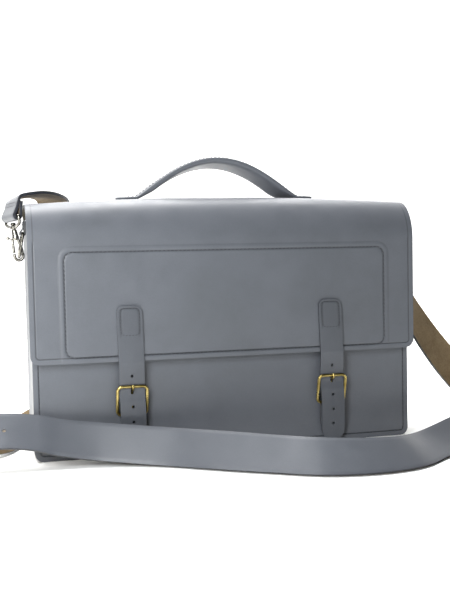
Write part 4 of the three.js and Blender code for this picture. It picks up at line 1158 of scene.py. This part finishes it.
def centripetal(knots, per_span):
    """Smooth curve through the knots, with the places evenly shared among the spans."""
    points = np.vstack([2 * knots[0] - knots[1], knots, 2 * knots[-1] - knots[-2]])
    found = []
    for k in range(len(knots) - 1):
        p0, p1, p2, p3 = points[k:k + 4]
        d0 = max(np.linalg.norm(p1 - p0) ** 0.5, 1e-6)
        d1 = max(np.linalg.norm(p2 - p1) ** 0.5, 1e-6)
        d2 = max(np.linalg.norm(p3 - p2) ** 0.5, 1e-6)
        m1 = ((p1 - p0) / d0 - (p2 - p0) / (d0 + d1) + (p2 - p1) / d1) * d1
        m2 = ((p2 - p1) / d1 - (p3 - p1) / (d1 + d2) + (p3 - p2) / d2) * d1
        for t in np.arange(per_span) / per_span:
            found.append(p1 + m1 * t + (-3 * p1 + 3 * p2 - 2 * m1 - m2) * t ** 2
                         + (2 * p1 - 2 * p2 + m1 + m2) * t ** 3)
    return np.array(found)


route = route_rows()
left_fold, left_main, left_edge, left_leave, left_face = folded_end(left_hook, route[0], 1)
right_fold, right_main, right_edge, right_leave, right_face = folded_end(right_hook, route[-1], -1)
knot_places = np.array([left_fold[-1], left_main, *[c for c, e in route], right_main, right_fold[-1]])
knot_edges = np.array([left_edge, left_edge, *[e for c, e in route], right_edge, right_edge])
PER_SPAN = 16
run_places = centripetal(knot_places, PER_SPAN)[1:]
span_at = np.arange(1, (len(knot_places) - 1) * PER_SPAN) / PER_SPAN
run_edges = np.stack([np.interp(span_at, np.arange(len(knot_edges)), knot_edges[:, k])
                      for k in range(3)], axis=1)
soften = np.exp(-(np.arange(-6, 7) / 3.5) ** 2)
soften /= soften.sum()
run_edges = np.stack([np.convolve(np.pad(run_edges[:, k], 6, mode="edge"), soften, mode="valid")
                      for k in range(3)], axis=1)
strap_places = np.vstack([left_fold, run_places, right_fold[::-1]])
strap_edges = np.vstack([np.tile(left_edge, (len(left_fold), 1)), run_edges,
                         np.tile(right_edge, (len(right_fold), 1))])
strap_travel = unit(np.gradient(strap_places, axis=0))
strap_edges = unit(strap_edges - strap_travel * np.sum(strap_edges * strap_travel, axis=1)[:, None])
strap_faces = np.cross(strap_travel, strap_edges)
strap_rim = np.array([STRAP_HALF, 18.2, 17.2, 16.6, 16.1, 15.6])
strap_u = np.concatenate([strap_rim, np.linspace(14, -14, 11), -strap_rim[::-1]])


def strap_place(u, v, i, j):
    skin = STRAP_WALL / 2 - 0.3 * ease(np.abs(u), 15.5, STRAP_HALF)
    points = strap_places[j] + strap_edges[j] * u[:, None] + strap_faces[j] * skin[:, None]
    # The second value is painted shade on the rounded rims of the face
    return points, 0.25 * ease(np.abs(u), 17.6, STRAP_HALF)


near_hole = np.where(strap_places[:, 1] < -CASE_DEPTH_HALF)[0]
hole_at = near_hole[np.argmin(np.abs(strap_places[near_hole, 0] - STRAP_HOLE_X))]
strap_hole = hole_cutter(2.0, strap_places[hole_at], strap_faces[hole_at], length=10)
strap = leather_sheet("shoulder_strap_leather", strap_u, lengths_along(strap_places), strap_place,
                      STRAP_WALL, (STRAP_SHADED_GRAIN, FLESH, EDGE), 0.7, cutters=[strap_hole])
keep(strap, "shoulder_strap")
for label, hook, leave, face, edge in (("left", left_hook, left_leave, left_face, left_edge),
                                       ("right", right_hook, right_leave, right_face, right_edge)):
    for row, away in enumerate((9.5, 13.0)):
        run = np.linspace(-14.5, 14.5, 12)
        path = hook["bar"] + leave * away + face * (STRAP_WALL + SEAT / 2 + 0.1) + edge * run[:, None]
        seam(f"strap_end_{label}_stitches_{row}", path, facing(*face), pitch=3.4, thread=0.7)


# Floor, sweep and light

def pale_paper_painted_glow():
    """Matt white studio paper with a trace of tooth; behind the case it carries a painted glow, an emission
    that rises towards the back in place of light from behind, so it is evenly bright up to the horizon."""
    material, tree, shader, place = finish_of("white_studio_paper_painted_glow")
    tooth = add(tree, "ShaderNodeTexNoise", {"Vector": place, "Scale": 6.0, "Detail": 2.0})
    shade = add(tree, "ShaderNodeValToRGB", {"Fac": tooth}, [(0.3, "#f1f1ee"), (0.7, "#f5f5f3")])
    depth = add(tree, "ShaderNodeSeparateXYZ", {"Vector": place})
    # Painted glow: the emission strength rises with depth behind the case
    glow = add(tree, "ShaderNodeMapRange", {"Value": depth.outputs["Y"], "From Min": 0.15, "From Max": 1.1,
                                            "To Min": 0.0, "To Max": 0.95}, interpolation_type="SMOOTHSTEP")
    fill(tree, shader, {"Base Color": shade, "Roughness": 0.9, "Specular IOR Level": 0.1,
                        "Emission Color": (1, 1, 1, 1), "Emission Strength": glow})
    return material


deselect_all()
bpy.ops.mesh.primitive_grid_add(x_subdivisions=8, y_subdivisions=40, size=2)
paper = bpy.context.object
paper.name = "studio_paper"
for vertex in paper.data.vertices:
    run = (vertex.co.y + 1) / 2
    vertex.co = Vector((vertex.co.x * 7, -3.0 + 6.0 * min(run / 0.6, 1), 9.0 * max(run - 0.55, 0)))
paper.data.materials.append(pale_paper_painted_glow())
smooth(paper, 60)

world = bpy.data.worlds.new("studio")
world.use_nodes = True
bpy.context.scene.world = world
sky = world.node_tree
sky.nodes.clear()
glow = add(sky, "ShaderNodeBackground", {"Color": (0.96, 0.98, 1.0, 1.0), "Strength": 0.05})
sky_output = add(sky, "ShaderNodeOutputWorld")
sky.links.new(glow.outputs["Background"], sky_output.inputs["Surface"])
bpy.context.scene.view_settings.view_transform = "Standard"


def soft_light(name, place, target, size, power, tint):
    data = bpy.data.lights.new(name, "AREA")
    data.shape = "RECTANGLE"
    data.size, data.size_y = size
    data.energy = power
    data.color = tint
    light = bpy.data.objects.new(name, data)
    bpy.context.scene.collection.objects.link(light)
    light.location = place
    aim = Vector(target) - Vector(place)
    light.rotation_euler = aim.to_track_quat("-Z", "Y").to_euler()


# Place and target in metres, size in metres, power in watts, tint
soft_light("left_window", (-0.42, -0.62, 0.36), (-0.06, 0, 0.13), (0.3, 0.4), 6.6, (0.95, 0.975, 1.0))
soft_light("overhead", (-0.2, 0.36, 1.5), (-0.04, 0.05, 0.1), (1.9, 0.8), 62, (1.0, 1.0, 1.0))
soft_light("rear_window", (-0.1, 1.25, 0.95), (0, 0, 0.25), (2.2, 0.7), 14, (1.0, 1.0, 1.0))
